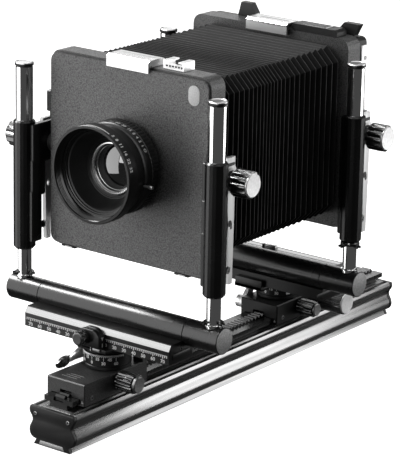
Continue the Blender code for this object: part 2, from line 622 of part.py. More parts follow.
def rear_support():
    turret_y = REAR_TUBE_Y + REAR_TURRET
    carriage("rear", 188.5, 270.0, REAR_PINION_Y,
             [(REAR_PINION_Y, PINION_Z, 2.7, -5.9), (222.0, 46.0, 2.7, 12.5)])
    support("rear", 1, REAR_TUBE_Y, turret_y, 100.0, REAR_HEIGHTS)
    focus_knob("rear", REAR_PINION_Y, 30.0, 10.5, 9.4)
    fluted("rear_clamp_knob", "X", (0, 222.0, 46.0), 20.5, 39.0, 7.2, "black_paint", 12, 5.4, 1, 2.4, 13.0)
    hub = (199.0, 46.0)
    arm = [(hub[0] + 6.0 * math.cos(math.radians(a)), hub[1] + 6.0 * math.sin(math.radians(a)))
           for a in range(130, 351, 20)]
    arm += [(208.5, 55.0), (212.0, 60.0), (213.0, 67.0), (208.0, 68.0), (205.0, 61.0)]
    arm = [(y - FACE_TO_ORIGIN, z) for y, z in arm]
    lever = plate("rear_clamp_lever", "X", [arm], -24.6, -20.8, "satin_silver")
    grip = rod("rear_lever_hub", "X", (0, hub[0], hub[1]), -30.0, -22.0, 5.6, home=TOOLS, segments=20)
    join(lever, grip)


def pivot(name, point, carried):
    """An empty on a joint's axis that carries the pieces moving about or along it."""
    spot = bpy.data.objects.new(name, None)
    spot.empty_display_size = 0.01
    spot.location = place(point)
    PARTS.objects.link(spot)
    for child in carried:
        rider = bpy.data.objects[child]
        rider.parent = spot
        rider.matrix_parent_inverse = Matrix.Translation(-place(point))


def joint_axes(side, tube_y, turret_y, pinion_y, levers, held):
    """The standard's chain of movements, from its frame down to its saddle."""
    axis_y = tube_y + AXIS_AHEAD
    pivot(side + "_tilt_axis", (0, axis_y, AXIS_Z), [side + "_frame", side + "_tilt_knob_left",
                                                     side + "_tilt_knob_right"] + held)
    rising = [side + "_tilt_axis"]
    base = [side + "_rise_axis"]
    for hand in ("left", "right"):
        rising += ["%s_%s_%s" % (side, piece, hand) for piece in ("sleeve", "post", "bracket")]
        base += ["%s_%s_%s" % (side, piece, hand) for piece in ("tube_end", "rod")]
    pivot(side + "_rise_axis", (0, tube_y, TUBE_Z), rising)
    pivot(side + "_base_tilt_axis", (0, tube_y, TUBE_Z), base)
    pivot(side + "_shift_axis", (0, tube_y, 83.0), [side + "_base_tilt_axis", side + "_shift_bar",
                                                    side + "_cross_tube"])
    pivot(side + "_shift_knob_axis", (-4, tube_y, 83.0), [side + "_shift_knob"])
    pivot(side + "_swing_axis", (0, turret_y, 60.0), [side + "_shift_axis", side + "_shift_knob_axis",
                                                      side + "_swing_head"])
    pivot(side + "_pinion_axis", (0, pinion_y, PINION_Z), [side + "_focus_knob"])
    saddle = [side + "_carriage", side + "_turret", side + "_swing_axis", side + "_pinion_axis"]
    for name, spot in levers:
        pivot(name + "_axis", spot, [name])
        saddle.append(name + "_axis")
    pivot(side + "_focus_axis", (0, tube_y, BLOCK_FLOOR), saddle)


build_rail()
front_support()
rear_support()
front_standard()
rear_standard()
bellows()
pivot("aperture_axis", (0, -24.0, LENS_Z), ["aperture_lever"])
joint_axes("front", FRONT_TUBE_Y, FRONT_TUBE_Y - FRONT_TURRET, FRONT_PINION_Y,
           [("front_swing_lever", (-23, -25.0, 61.0))],
           ["front_lock", "lens_board", "accessory_shoe", "lens_shutter", "lens_barrel", "lens_glass",
            "aperture_axis"])
joint_axes("rear", REAR_TUBE_Y, REAR_TUBE_Y + REAR_TURRET, REAR_PINION_Y,
           [("rear_clamp_knob", (30, 222.0, 46.0)), ("rear_clamp_lever", (-23, 199.0, 46.0))],
           ["rear_lock", "rear_level", "spring_back", "ground_glass"])
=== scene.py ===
"""Looks for the view camera: fine surfaces, engraving, bellows folds and materials for the frame.

X runs across, Y back along the rail, Z up. Helpers take millimetres and build meshes in the part's frame.
"""
import json
import math
import bmesh
import bpy
from mathutils import Matrix, Vector

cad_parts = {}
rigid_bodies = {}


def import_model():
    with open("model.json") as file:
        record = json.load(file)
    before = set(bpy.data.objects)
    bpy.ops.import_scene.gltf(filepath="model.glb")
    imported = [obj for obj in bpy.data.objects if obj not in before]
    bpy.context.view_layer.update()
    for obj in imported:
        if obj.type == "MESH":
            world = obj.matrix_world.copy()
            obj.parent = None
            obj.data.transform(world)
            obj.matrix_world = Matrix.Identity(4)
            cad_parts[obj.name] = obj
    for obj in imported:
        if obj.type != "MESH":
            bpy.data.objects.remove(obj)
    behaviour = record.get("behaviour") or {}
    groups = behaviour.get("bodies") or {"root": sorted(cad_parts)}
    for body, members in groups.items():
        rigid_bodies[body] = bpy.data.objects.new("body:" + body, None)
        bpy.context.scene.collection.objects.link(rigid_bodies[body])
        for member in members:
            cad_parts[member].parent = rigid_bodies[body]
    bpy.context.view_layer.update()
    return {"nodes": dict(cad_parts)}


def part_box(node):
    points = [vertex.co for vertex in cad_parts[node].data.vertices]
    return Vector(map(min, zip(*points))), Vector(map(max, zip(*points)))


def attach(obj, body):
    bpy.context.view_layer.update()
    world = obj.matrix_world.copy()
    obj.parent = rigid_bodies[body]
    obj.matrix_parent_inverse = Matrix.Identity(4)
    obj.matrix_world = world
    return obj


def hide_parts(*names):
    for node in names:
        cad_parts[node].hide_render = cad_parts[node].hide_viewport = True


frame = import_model()
MM = 0.001
SIDES = (("left", -1), ("right", 1))
ENDS = (("front", -1), ("rear", 1))

# Driving sizes in millimetres.
UPRIGHT_X = 100.0
ROD, POST, POST_CAP = 5.9, 7.2, 7.8
TUBE, TUBE_HALF = 11.0, 76.9
TURRET = 20.0
CARRIAGE_HALF, LEDGE = 20.0, 54.0
LENS_RIM, BARREL, SHUTTER, GLASS_EDGE = 40.5, 36.6, 38.6, 19.7


def span(node):
    """A node's lowest and highest corners at rest, in millimetres."""
    low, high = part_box(node)
    return low / MM, high / MM


def middle(node):
    low, high = span(node)
    return (low + high) / 2


# ---- materials

def fill(node, **values):
    """Sets inputs by name, with _ for a space."""
    for name, value in values.items():
        node.inputs[name.replace("_", " ")].default_value = value
    return node


EVEN = (1.0, 1.0, 1.0)
ALONG_X = (0.02, 1.0, 1.0)
ALONG_Y = (1.0, 0.02, 1.0)
ALONG_Z = (1.0, 1.0, 0.02)


class Skin:
    """A Principled material in the making. Patterns run in the piece's own space."""

    def __init__(self, name, colour, rough, metal=0.0):
        self.made = bpy.data.materials.new(name)
        self.made.use_nodes = True
        self.tree = self.made.node_tree
        self.link = self.tree.links.new
        self.base = self.tree.nodes["Principled BSDF"]
        fill(self.base, Base_Color=(colour, colour, colour, 1.0), Roughness=rough, Metallic=metal)

    def node(self, kind, **values):
        return fill(self.tree.nodes.new(kind), **values)

    def noise(self, scale, stretch=EVEN, detail=4.0):
        """Noise at a scale in cycles per metre along the unstretched axes."""
        place = self.node("ShaderNodeTexCoord")
        squeeze = self.node("ShaderNodeMapping", Scale=stretch)
        grain = self.node("ShaderNodeTexNoise", Scale=scale, Detail=detail)
        self.link(place.outputs["Object"], squeeze.inputs["Vector"])
        self.link(squeeze.outputs["Vector"], grain.inputs["Vector"])
        return grain.outputs["Fac"]

    def ramp(self, source, low, high, start=0.3, stop=0.7):
        """Maps a 0-1 value to greys between low and high."""
        shade = self.node("ShaderNodeValToRGB")
        for point, spot, level in zip(shade.color_ramp.elements, (start, stop), (low, high)):
            point.position = spot
            point.color = (level, level, level, 1.0)
        self.link(source, shade.inputs["Fac"])
        return shade.outputs["Color"]

    def grade(self, name, source, *levels):
        self.link(self.ramp(source, *levels), self.base.inputs[name])

    def bump(self, source, depth, strength=1.0):
        lift = self.node("ShaderNodeBump", Distance=depth * MM, Strength=strength)
        self.link(source, lift.inputs["Height"])
        self.link(lift.outputs["Normal"], self.base.inputs["Normal"])


def brushed(name, light, dark, rough, stretch, scale=260.0, depth=0.012):
    """Metal with fine lines along one axis."""
    skin = Skin(name, light, rough, 1.0)
    lines = skin.noise(scale, stretch, 3.0)
    skin.grade("Base Color", lines, dark, light)
    skin.grade("Roughness", lines, rough * 1.25, rough * 0.8)
    skin.bump(lines, depth)
    return skin.made


def polished(name, light, rough):
    """Plated metal with faint handling marks."""
    skin = Skin(name, light, rough, 1.0)
    marks = skin.noise(40.0, detail=1.0)
    skin.grade("Roughness", marks, rough * 0.92, rough * 1.1)
    skin.grade("Base Color", marks, light, light * 0.96)
    return skin.made


def enamel(name, dark, light, rough, scale, depth, metal=0.0, coat=0.0, shine=0.3):
    """Black paint or anodising: fine orange peel, slight cloudiness in gloss and tone."""
    skin = Skin(name, light, rough, metal)
    cloud = skin.noise(45.0, detail=1.5)
    skin.grade("Base Color", cloud, dark, light)
    skin.grade("Roughness", cloud, rough * 0.95, rough * 1.06)
    skin.bump(skin.noise(scale, detail=3.0), depth, 0.6)
    fill(skin.base, Specular_IOR_Level=shine, Coat_Weight=coat, Coat_Roughness=0.15)
    return skin.made


def crinkle(name, dark, light, rough, scale, depth):
    """Wrinkle paint: close-set rounded grains, with the sunken gaps between them painted darker as painted
    shade.
    """
    skin = Skin(name, light, rough)
    place = skin.node("ShaderNodeTexCoord")
    cells = skin.node("ShaderNodeTexVoronoi")
    cells.feature = "SMOOTH_F1"
    fill(cells, Scale=scale, Randomness=1.0)
    skin.link(place.outputs["Object"], cells.inputs["Vector"])
    blend = skin.node("ShaderNodeMix", Factor=0.5)
    skin.link(cells.outputs["Distance"], blend.inputs["A"])
    skin.link(skin.noise(scale * 1.7, detail=3.0), blend.inputs["B"])
    grain = blend.outputs["Result"]
    # painted shade: the grain that sinks the gaps also darkens their colour
    skin.grade("Base Color", grain, light, dark, 0.3, 0.62)
    skin.grade("Roughness", grain, rough * 0.85, rough * 1.15)
    skin.bump(grain, -depth)
    return skin.made


def bellows_skin(name):
    """Coated cloth, painted paler along the outer folds as a highlight on the ridges."""
    skin = Skin(name, 0.02, 0.5)
    fold = skin.node("ShaderNodeAttribute")
    fold.attribute_name = "fold"
    weave = skin.noise(1400.0, detail=2.0)
    painted_ridge_highlight = skin.node("ShaderNodeMath")
    painted_ridge_highlight.operation = "MULTIPLY"
    skin.link(fold.outputs["Fac"], painted_ridge_highlight.inputs[0])
    skin.link(skin.ramp(skin.noise(60.0), 0.95, 1.0), painted_ridge_highlight.inputs[1])
    # painted highlight: ridge rows are coloured paler, as if catching the light
    skin.grade("Base Color", painted_ridge_highlight.outputs["Value"], 0.003, 0.09, 0.9, 0.99)
    skin.grade("Roughness", weave, 0.5, 0.66)
    fill(skin.base, Specular_IOR_Level=0.1)
    skin.bump(weave, 0.04, 0.7)
    return skin.made


def clear_glass(name):
    """Front element: opaque and near black, a painted shade for the dark inside of the lens seen through
    the glass, with a hard coated surface.
    """
    skin = Skin(name, 0.012, 0.03)
    fill(skin.base, IOR=1.9, Coat_Weight=1.0, Coat_Roughness=0.02)
    skin.grade("Base Color", skin.noise(60.0, detail=1.0), 0.008, 0.03)
    return skin.made


def frosted(name):
    skin = Skin(name, 0.6, 0.55)
    grain = skin.noise(1800.0, detail=2.0)
    skin.grade("Base Color", grain, 0.5, 0.64)
    fill(skin.base, Transmission_Weight=0.35)
    skin.bump(grain, 0.02)
    return skin.made


def paint_white(name):
    skin = Skin(name, 0.85, 0.5)
    skin.grade("Base Color", skin.noise(900.0), 0.72, 0.9)
    return skin.made


# Bare and plated metal.
RAIL = brushed("rail_satin", 0.38, 0.27, 0.28, ALONG_Y)
SILVER = brushed("silver_satin", 0.7, 0.58, 0.3, ALONG_X)
SIDE_SILVER = brushed("silver_upright", 0.6, 0.5, 0.42, ALONG_Z)
BAND = brushed("scale_edge_silver", 0.34, 0.26, 0.26, ALONG_X)
PALE = brushed("pale_lever", 0.92, 0.8, 0.5, ALONG_Y)
EDGE_STRIP = brushed("pale_edge_strip", 0.85, 0.74, 0.5, ALONG_Z)
STEEL = brushed("steel_dark", 0.3, 0.18, 0.35, ALONG_X)
GREY = brushed("grey_end_face", 0.34, 0.22, 0.5, EVEN, 900.0, 0.03)
SILVER_CAP = brushed("silver_cap", 0.8, 0.7, 0.45, EVEN, 500.0, 0.01)
GREY_CAP = brushed("grey_cap", 0.26, 0.18, 0.42, EVEN, 700.0, 0.015)
CHROME = polished("chrome_plate", 0.92, 0.055)
BRIGHT = polished("bright_bezel", 0.95, 0.28)

# Black finishes.
ENAMEL = enamel("black_enamel", 0.006, 0.012, 0.3, 600.0, 0.03)
SATIN = enamel("black_satin", 0.007, 0.013, 0.34, 1100.0, 0.02)
PLASTIC = enamel("black_moulding", 0.01, 0.018, 0.42, 1500.0, 0.03)
GRIP = enamel("black_grip", 0.01, 0.018, 0.24, 900.0, 0.02, coat=1.0, shine=0.8)
DULL_CAP = enamel("dull_cap", 0.05, 0.09, 0.45, 900.0, 0.02)
TRACK_SKIN = enamel("track_anodising", 0.01, 0.016, 0.26, 900.0, 0.01)
TUBE_SKIN = enamel("tube_anodising", 0.008, 0.012, 0.27, 1300.0, 0.003, shine=0.55)
SLEEVE_SKIN = enamel("sleeve_anodising", 0.006, 0.009, 0.26, 1000.0, 0.004, shine=0.35)
WELL = enamel("lens_well", 0.006, 0.012, 0.5, 900.0, 0.01)
THREAD = enamel("thread_black", 0.02, 0.03, 0.2, 900.0, 0.004, metal=0.5)
CRINKLE = crinkle("board_crinkle", 0.03, 0.21, 0.42, 900.0, 0.26)
CASTING = crinkle("casting_crinkle", 0.015, 0.13, 0.42, 1300.0, 0.12)
SADDLE = crinkle("saddle_crinkle", 0.008, 0.05, 0.42, 1300.0, 0.1)

# Cloth, glass and paint.
CLOTH = bellows_skin("bellows_cloth_skin")
GLASS = clear_glass("front_element")
FROST = frosted("ground_screen")
WHITE = paint_white("filled_engraving")


# ---- shapes

def add(name, data):
    ob = bpy.data.objects.new(name, data)
    bpy.context.scene.collection.objects.link(ob)
    return ob


def fillet(points, radius, steps, keep):
    """Rounds the corners of a closed outline; keep lists the corners left sharp."""
    out = []
    for i, point in enumerate(points):
        if i in keep:
            out.append(point)
            continue
        here = Vector(point)
        before = Vector(points[i - 1]) - here
        after = Vector(points[(i + 1) % len(points)]) - here
        reach = min(radius, before.length * 0.45, after.length * 0.45)
        first = here + before.normalized() * reach
        last = here + after.normalized() * reach
        for k in range(steps + 1):
            t = k / steps
            out.append(tuple(first * (1 - t) ** 2 + here * 2 * t * (1 - t) + last * t * t))
    return out


def flow(points, steps):
    """A smooth curve through the points."""
    out = []
    for i in range(len(points) - 1):
        picks = (max(i - 1, 0), i, i + 1, min(i + 2, len(points) - 1))
        p0, p1, p2, p3 = (Vector(points[k]) for k in picks)
        for k in range(steps):
            t = k / steps
            out.append(tuple(0.5 * (2 * p1 + (p2 - p0) * t + (2 * p0 - 5 * p1 + 4 * p2 - p3) * t * t
                                    + (3 * p1 - p0 - 3 * p2 + p3) * t ** 3)))
    return out + [points[-1]]


def to_space(axis, a, b, along):
    """Point with in-plane coordinates (a, b) at a distance along an axis."""
    if axis == "X":
        return (along, a, b)
    if axis == "Y":
        return (a, along, b)
    return (a, b, along)


class Shape:
    """Collects solids, in millimetres, into one mesh with several materials."""

    def __init__(self, *materials):
        self.bm = bmesh.new()
        self.materials = materials

    def take(self, part, tone, turn=None):
        bmesh.ops.recalc_face_normals(part, faces=part.faces)
        for face in part.faces:
            face.smooth = True
            if tone is not None:
                face.material_index = tone
        mesh = bpy.data.meshes.new("draft")
        part.to_mesh(mesh)
        part.free()
        if turn is not None:
            mesh.transform(turn)
        self.bm.from_mesh(mesh)
        bpy.data.meshes.remove(mesh)

    def box(self, low, high, bevel=0.4, tone=0, steps=2, turn=None):
        """A block between two opposite corners, given in either order."""
        part = bmesh.new()
        bmesh.ops.create_cube(part, size=1.0)
        spread = [abs(b - a) for a, b in zip(low, high)]
        bmesh.ops.scale(part, vec=spread, verts=part.verts)
        bmesh.ops.translate(part, vec=[(a + b) / 2 for a, b in zip(low, high)], verts=part.verts)
        if bevel:
            bmesh.ops.bevel(part, geom=part.edges[:], offset=min(bevel, min(spread) * 0.45),
                            segments=steps, profile=0.5, affect="EDGES")
        self.take(part, tone, turn)

    def prism(self, axis, outline, low, high, bevel=0.3, tone=0, steps=2, turn=None):
        """An outline pushed along an axis between two places, given in either order."""
        part = bmesh.new()
        bottom, top = ([part.verts.new(to_space(axis, a, b, place)) for a, b in outline]
                       for place in sorted((low, high)))
        lids = part.faces.new(bottom), part.faces.new(top)
        for i in range(len(outline)):
            j = (i + 1) % len(outline)
            part.faces.new((bottom[i], bottom[j], top[j], top[i]))
        bmesh.ops.recalc_face_normals(part, faces=part.faces)
        if bevel:
            rim = [edge for lid in lids for edge in lid.edges]
            bmesh.ops.bevel(part, geom=rim, offset=bevel, segments=steps, profile=0.5, affect="EDGES")
        self.take(part, tone, turn)

    def lathe(self, axis, centre, profile, tone=0, count=72, ring=False, flutes=0, turn=None):
        """profile lists (radius, height) with an optional tone and flute depth; a ring's is closed."""
        part = bmesh.new()
        rows = []
        for entry in profile:
            radius, height = entry[:2]
            dip = entry[3] if len(entry) > 3 else 0.0
            row = []
            for i in range(count if radius else 1):
                angle = 2 * math.pi * i / count
                out = radius - dip * (0.5 - 0.5 * math.cos(flutes * angle)) ** 1.6
                spot = to_space(axis, out * math.cos(angle), out * math.sin(angle), height)
                row.append(part.verts.new([c + d for c, d in zip(centre, spot)]))
            rows.append(row)
        last = len(rows) if ring else len(rows) - 1
        for k in range(last):
            a, b = rows[k], rows[(k + 1) % len(rows)]
            colour = profile[k][2] if len(profile[k]) > 2 else tone
            for i in range(count):
                j = (i + 1) % count
                corners = dict.fromkeys([a[i % len(a)], a[j % len(a)], b[j % len(b)], b[i % len(b)]])
                if len(corners) > 2:
                    part.faces.new(list(corners)).material_index = colour
        self.take(part, None, turn)

    def words(self, text, size, turn, tone, thick, width, bold):
        """Flat characters in the XY plane, centred, then turned into place."""
        curve = bpy.data.curves.new("glyph", "FONT")
        curve.body = text
        curve.size = size
        curve.extrude = thick / 2
        curve.offset = size * bold
        curve.align_x = "CENTER"
        curve.align_y = "CENTER"
        curve.resolution_u = 3
        draft = add("glyph", curve)
        bpy.context.view_layer.update()
        seen = draft.evaluated_get(bpy.context.evaluated_depsgraph_get())
        mesh = bpy.data.meshes.new_from_object(seen)
        bpy.data.objects.remove(draft, do_unlink=True)
        part = bmesh.new()
        part.from_mesh(mesh)
        bpy.data.meshes.remove(mesh)
        bmesh.ops.remove_doubles(part, verts=part.verts, dist=size * 1e-4)
        bmesh.ops.scale(part, vec=(width, 1.0, 1.0), verts=part.verts)
        self.take(part, tone, turn)

    def build(self, name, body, replaces=(), sharp=40):
        mesh = bpy.data.meshes.new(name)
        bmesh.ops.scale(self.bm, vec=(MM, MM, MM), verts=self.bm.verts)
        self.bm.to_mesh(mesh)
        self.bm.free()
        for material in self.materials:
            mesh.materials.append(material)
        mesh.set_sharp_from_angle(angle=math.radians(sharp))
        ob = add(name, mesh)
        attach(ob, body)
        if replaces:
            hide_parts(*replaces)


EDGE_ANGLE = math.radians(35)


def edge_wear(node, material, bevel=0.5, steps=2):
    """A carried-over node keeps its mesh and gets a finish and softened edges."""
    ob = frame["nodes"][node]
    for seat in ob.material_slots:
        seat.material = material
    if bevel:
        soft = ob.modifiers.new("soft_edge", "BEVEL")
        soft.width = bevel * MM
        soft.segments = steps
        soft.limit_method = "ANGLE"
        soft.angle_limit = EDGE_ANGLE
        soft.harden_normals = True
    ob.data.shade_smooth()
    ob.data.set_sharp_from_angle(angle=EDGE_ANGLE)


def arc(mid_a, mid_b, radius, start, sweep, steps):
    """Points along an arc, both ends included; angles in degrees."""
    angles = [math.radians(start + sweep * i / steps) for i in range(steps + 1)]
    return [(mid_a + radius * math.cos(t), mid_b + radius * math.sin(t)) for t in angles]


def rounded(half_x, half_z, radius, mid_x=0.0, mid_z=0.0):
    """Outline of a rectangle with round corners."""
    points = []
    for sx, sz, start in ((1, 1, 0), (-1, 1, 90), (-1, -1, 180), (1, -1, 270)):
        corner = mid_x + sx * (half_x - radius), mid_z + sz * (half_z - radius)
        points += arc(*corner, radius, start, 90, 8)
    return points


def screw(shape, axis, centre, radius, out, tone, dark):
    """Socket screw head: a low disc with a sunk centre; out is its height along the axis, signed. The sunk
    centre takes the dark tone, a painted shade in the socket.
    """
    sign = math.copysign(1, out)
    along = "XYZ".index(axis)
    place = list(centre)
    base, place[along] = place[along], 0.0
    # the socket rows take the dark tone: painted shade inside the recess
    profile = [(radius, base - 0.6 * sign), (radius, base + out - 0.25 * sign), (radius - 0.3, base + out),
               (radius * 0.5, base + out, dark), (radius * 0.45, base - 0.3 * sign, dark),
               (0.0, base - 0.3 * sign, dark)]
    shape.lathe(axis, place, profile, tone, 24)


def facing(origin, normal, up):
    """Places a flat drawing: its Z along the normal, its Y along up."""
    z = Vector(normal).normalized()
    x = Vector(up).cross(z).normalized()
    turn = Matrix((x, z.cross(x), z)).transposed().to_4x4()
    turn.translation = Vector(origin)
    return turn


def mark(shape, turn, half_x, half_y, tone, thick=0.08):
    """A flat engraved stroke."""
    shape.box((-half_x, -half_y, -thick), (half_x, half_y, thick), 0, tone, turn=turn)


# ---- rail

FOOT = [(19.0, 0.0), (16.4, 4.6)]
LOBES = [(19.6, 5.2), (22.3, 7.4), (23.5, 11.0), (22.9, 14.8), (20.9, 18.6), (20.2, 21.0), (20.9, 23.6),
         (22.9, 26.6), (23.5, 29.4), (22.6, 32.3)]
GROOVE = [(20.4, 32.5), (19.4, 31.3), (17.2, 31.3), (16.2, 32.5)]
TONGUE = [(-13.4, 0.9), (13.4, 0.9), (11.8, 4.4), (-11.8, 4.4)]
CAP_GROWTH = 1.008
CAP_SCREW = (17.2, 26.5)


def rail_outline(grow=1.0, groove=True):
    """Section of the rail, seen along it: a dovetail foot, two lobes a side, grooves on top."""
    half = FOOT + flow(LOBES, 4) + (GROOVE if groove else [])
    half = [(x * grow, z) for x, z in half]
    return half + [(-x, z) for x, z in reversed(half)]


def rail_cap(end, sign):
    """Moulded cover with a metal tongue in the dovetail and two screws."""
    node = "rail_" + end + "_cap"
    low, high = span(node)
    face = low.y if sign < 0 else high.y
    cap = Shape(PLASTIC, GREY, STEEL)
    cap.prism("Y", rail_outline(CAP_GROWTH, False), low.y, high.y, 0.5, 0)
    cap.prism("Y", TONGUE, face + 0.25 * sign, face - 0.6 * sign, 0.15, 1)
    for way in (-1, 1):
        screw(cap, "Y", (CAP_SCREW[0] * way, face, CAP_SCREW[1]), 1.7, 0.45 * sign, 2, 0)
    cap.build("rail_cap_" + end, "rail", [node], 35)


def rail():
    low, high = span("rail_extrusion")
    beam = Shape(RAIL)
    beam.prism("Y", rail_outline(), low.y, high.y, 0.3)
    beam.build("rail_beam", "rail", ["rail_extrusion"], 28)
    for end, sign in ENDS:
        rail_cap(end, sign)
    edge_wear("rail_track", TRACK_SKIN, 0.5)
    edge_wear("gear_rack", TRACK_SKIN, 0.0)


rail()


# ---- knobs

def knob(name, node, axis, sign, stem, start, radius, cap_radius, flutes, depth, cap_skin, cap_thick=1.3,
         groove=0.0, flange=0.0):
    """A fluted grip on a stem. It points along the axis in the direction of sign, fills the node's
    length, and its flutes begin at start."""
    along = "XYZ".index(axis)
    base, stop = [corner[along] for corner in span(node)][::sign]
    spot = middle(node)
    spot[along] = 0.0
    inner = stop - cap_thick * sign
    neck = inner - groove * sign
    root = stem
    profile = [(0.0, base, 2), (stem, base, 2)]
    if flange:
        root = radius - 2.6
        profile += [(stem, start - flange * sign, 3), (root, start - flange * sign, 3), (root, start, 3)]
    profile += [(root, start), (radius - 1.4, start),
                (radius - 0.3, start + 0.5 * sign), (radius, start + 1.4 * sign, 0, depth),
                (radius, neck - 1.2 * sign, 0, depth), (radius - 0.5, neck - 0.2 * sign, 0, depth * 0.7),
                (cap_radius - (1.2 if groove else 0.0), neck)]
    if groove:
        profile += [(cap_radius - 1.2, inner)]
    profile += [(cap_radius, inner, 1), (cap_radius, stop - 0.5 * sign, 1), (cap_radius - 0.6, stop, 1),
                (cap_radius * 0.55, stop - 0.12 * sign, 1), (0.0, stop - 0.15 * sign, 1)]
    grip = Shape(GRIP, cap_skin, STEEL, SILVER)
    grip.lathe(axis, spot, profile, 0, max(72, flutes * 8), flutes=flutes)
    grip.build(name, node, [node], 32)


def tilt_knobs(side):
    for hand, sign in SIDES:
        node = side + "_tilt_knob_" + hand
        base = span(node)[0 if sign > 0 else 1].x
        reach, cap, flange = (5.3, SILVER_CAP, 0.0) if sign > 0 else (16.1, SATIN, 1.8)
        knob(side + "_tilt_grip_" + hand, node, "X", sign, 5.6, base + reach * sign, 11.7, 9.8, 12, 1.9,
             cap, 1.4, flange=flange)


def shift_knob(side, sign):
    node = side + "_shift_knob"
    tip = span(node)[0 if sign < 0 else 1].y
    knob(side + "_shift_grip", node, "Y", sign, 2.2, tip - 9.4 * sign, 6.0, 4.6, 18, 0.5, DULL_CAP, 0.9)


def knobs():
    start = CARRIAGE_HALF + 1.2
    for side, sign in ENDS:
        tilt_knobs(side)
        if side == "front":
            knob("front_focus_grip", "front_focus_knob", "X", 1, 3.1, start, 8.5, 6.9, 16, 1.0,
                 GREY_CAP, 2.6, 0.9)
        else:
            knob("rear_focus_grip", "rear_focus_knob", "X", 1, 3.1, start, 10.5, 9.7, 36, 0.35,
                 SILVER_CAP, 1.2)
            knob("rear_clamp_grip", "rear_clamp_knob", "X", 1, 2.3, start, 7.2, 5.6, 14, 0.8,
                 GREY_CAP, 1.6, 0.6)
        shift_knob(side, sign)


knobs()


# ---- carriages, turrets, swing heads

def carriage(side):
    body = side + "_carriage"
    edge_wear(body, SADDLE if side == "front" else SATIN, 0.5)
    low, high = span(body)
    trim = Shape(STEEL, SATIN, WHITE)
    for y in (low.y + 9.0, high.y - 9.0):
        for way in (1, -1):
            screw(trim, "X", (CARRIAGE_HALF * way, y, 41.0), 1.9, 0.35 * way, 0, 1)
    pointer = [(16.2, 38.0), (18.6, 38.0), (17.4, 40.6)]
    trim.prism("Y", pointer, low.y - 0.12, low.y + 0.1, 0, 2)
    if side == "front":
        for i in range(3):
            y = low.y + 8.0 + 3.4 * i
            trim.box((-11.0 + 2 * i, y, LEDGE - 0.1), (5.0 + i, y + 0.3, LEDGE + 0.08), 0, 2)
    trim.build(side + "_carriage_trim", body)


def turret(side):
    """Graduated drum: a stroke each 2.5 degrees, a number each 15, and a plugged hole on each side."""
    node = side + "_turret"
    mid = middle(node)
    low, high = span(node)
    base, top = low.z, high.z - 0.1
    profile = [(9.0, base), (TURRET - 0.6, base), (TURRET, base + 0.6), (TURRET, base + 2.9),
               (TURRET - 0.5, base + 3.3), (TURRET - 0.5, base + 3.7), (TURRET, base + 4.1),
               (TURRET, top - 0.25), (TURRET - 0.3, top), (9.0, top)]
    drum = Shape(SATIN, WHITE, PLASTIC, SILVER)
    drum.lathe("Z", (0, mid.y, 0), profile, 0, 96, ring=True)

    def on_drum(degrees, z, radius=TURRET):
        """Placement on the drum; the angle runs from the front, anticlockwise seen from above."""
        a = math.radians(degrees - 90)
        out = (math.cos(a), math.sin(a), 0)
        return facing((radius * out[0], mid.y + radius * out[1], z), out, (0, 0, 1))

    for i in range(-32, 33):
        tall = 0.7 if i % 2 else 1.0
        mark(drum, on_drum(2.5 * i, top - 0.25 - tall), 0.44 if i < -2 else 0.22, tall, 1)
    for k in range(-4, 5):
        drop = 3.9 if k % 2 else 7.4
        drum.words(str(abs(15 * k)), 3.5, on_drum(15 * k, top - drop), 1, 0.2, 1.0, 0.05)
        if k % 2 == 0:
            mark(drum, on_drum(15 * k, top - 3.9), 0.22, 1.4, 1)
    for degrees in (90.0, 270.0):
        drum.prism("Z", arc(0, 0, 1.7, 0, 345, 23), -0.3, 0.07, 0, 2,
                   turn=on_drum(degrees, top - 4.5, TURRET - 0.02))
    drum.build(side + "_graduated_turret", side + "_carriage", [node], 30)


def swing_head(side, sign):
    """Spigot and disc with a bed that reaches back under the tube to the housing of the shift clamp."""
    node = side + "_swing_head"
    bottom = span(node)[0].z
    head = Shape(SATIN, WHITE, STEEL, ENAMEL)
    disc = [(0.0, bottom), (8.6, bottom), (8.6, 68.4), (18.8, 68.4), (19.2, 68.8), (19.2, 70.4),
            (18.9, 70.6), (19.2, 70.8), (19.2, 71.6), (18.4, 72.2), (15.5, 72.7), (0.0, 72.7)]
    head.lathe("Z", (0, middle(side + "_turret").y, 0), disc, 0, 84)
    tube_y = middle(side + "_cross_tube").y

    def out(distance):
        """A distance outwards from the tube's axis, as a place along Y."""
        return tube_y + distance * sign

    head.box((-15, out(-8.5), 70.2), (15, out(31.5), 73.7), 0.5, 0)
    head.box((-14.5, out(-8.5), 70.6), (14.5, out(-4.5), 79.5), 0.5, 0)
    crown = [(-11.5, 71.0), (11.5, 71.0), (11.5, 84.5), (6.0, 90.8), (-6.0, 90.8), (-11.5, 84.5)]
    head.prism("Y", fillet(crown, 3.2, 4, (0, 1)), out(27.0), out(31.5), 0.9, 3, 3)
    nose = [(-13.5, 75.2), (11.5, 75.2), (11.5, 84.8), (6.0, 90.0), (-8.0, 90.0), (-13.5, 84.0)]
    head.prism("Y", fillet(nose, 3.0, 4, (0, 1)), out(30.5), out(35.5), 0.9, 3, 3)
    face = out(31.5)
    up, ahead, right = (0, 0, 1), (0, sign, 0), (1, 0, 0)
    head.prism("Z", [(-1.6, 1.4), (1.6, 1.4), (0, -1.6)], -0.1, 0.1, 0, 1,
               turn=facing((11.5, face, 83.2), right, up))
    mark(head, facing((11.5, face, 77.8), right, up), 0.45, 1.6, 1, 0.1)
    mark(head, facing((-1.0, face, 72.0), ahead, up), 0.35, 1.6, 1, 0.1)
    head.box((1.2, out(31.3), 70.9), (8.6, out(31.65), 73.2), 0.1, 2)
    head.build(side + "_swing_clamp", side + "_swing", [node], 34)


LEVER_PIVOT = (-163.5, 61.0)
LEVER_FALL = 9.0


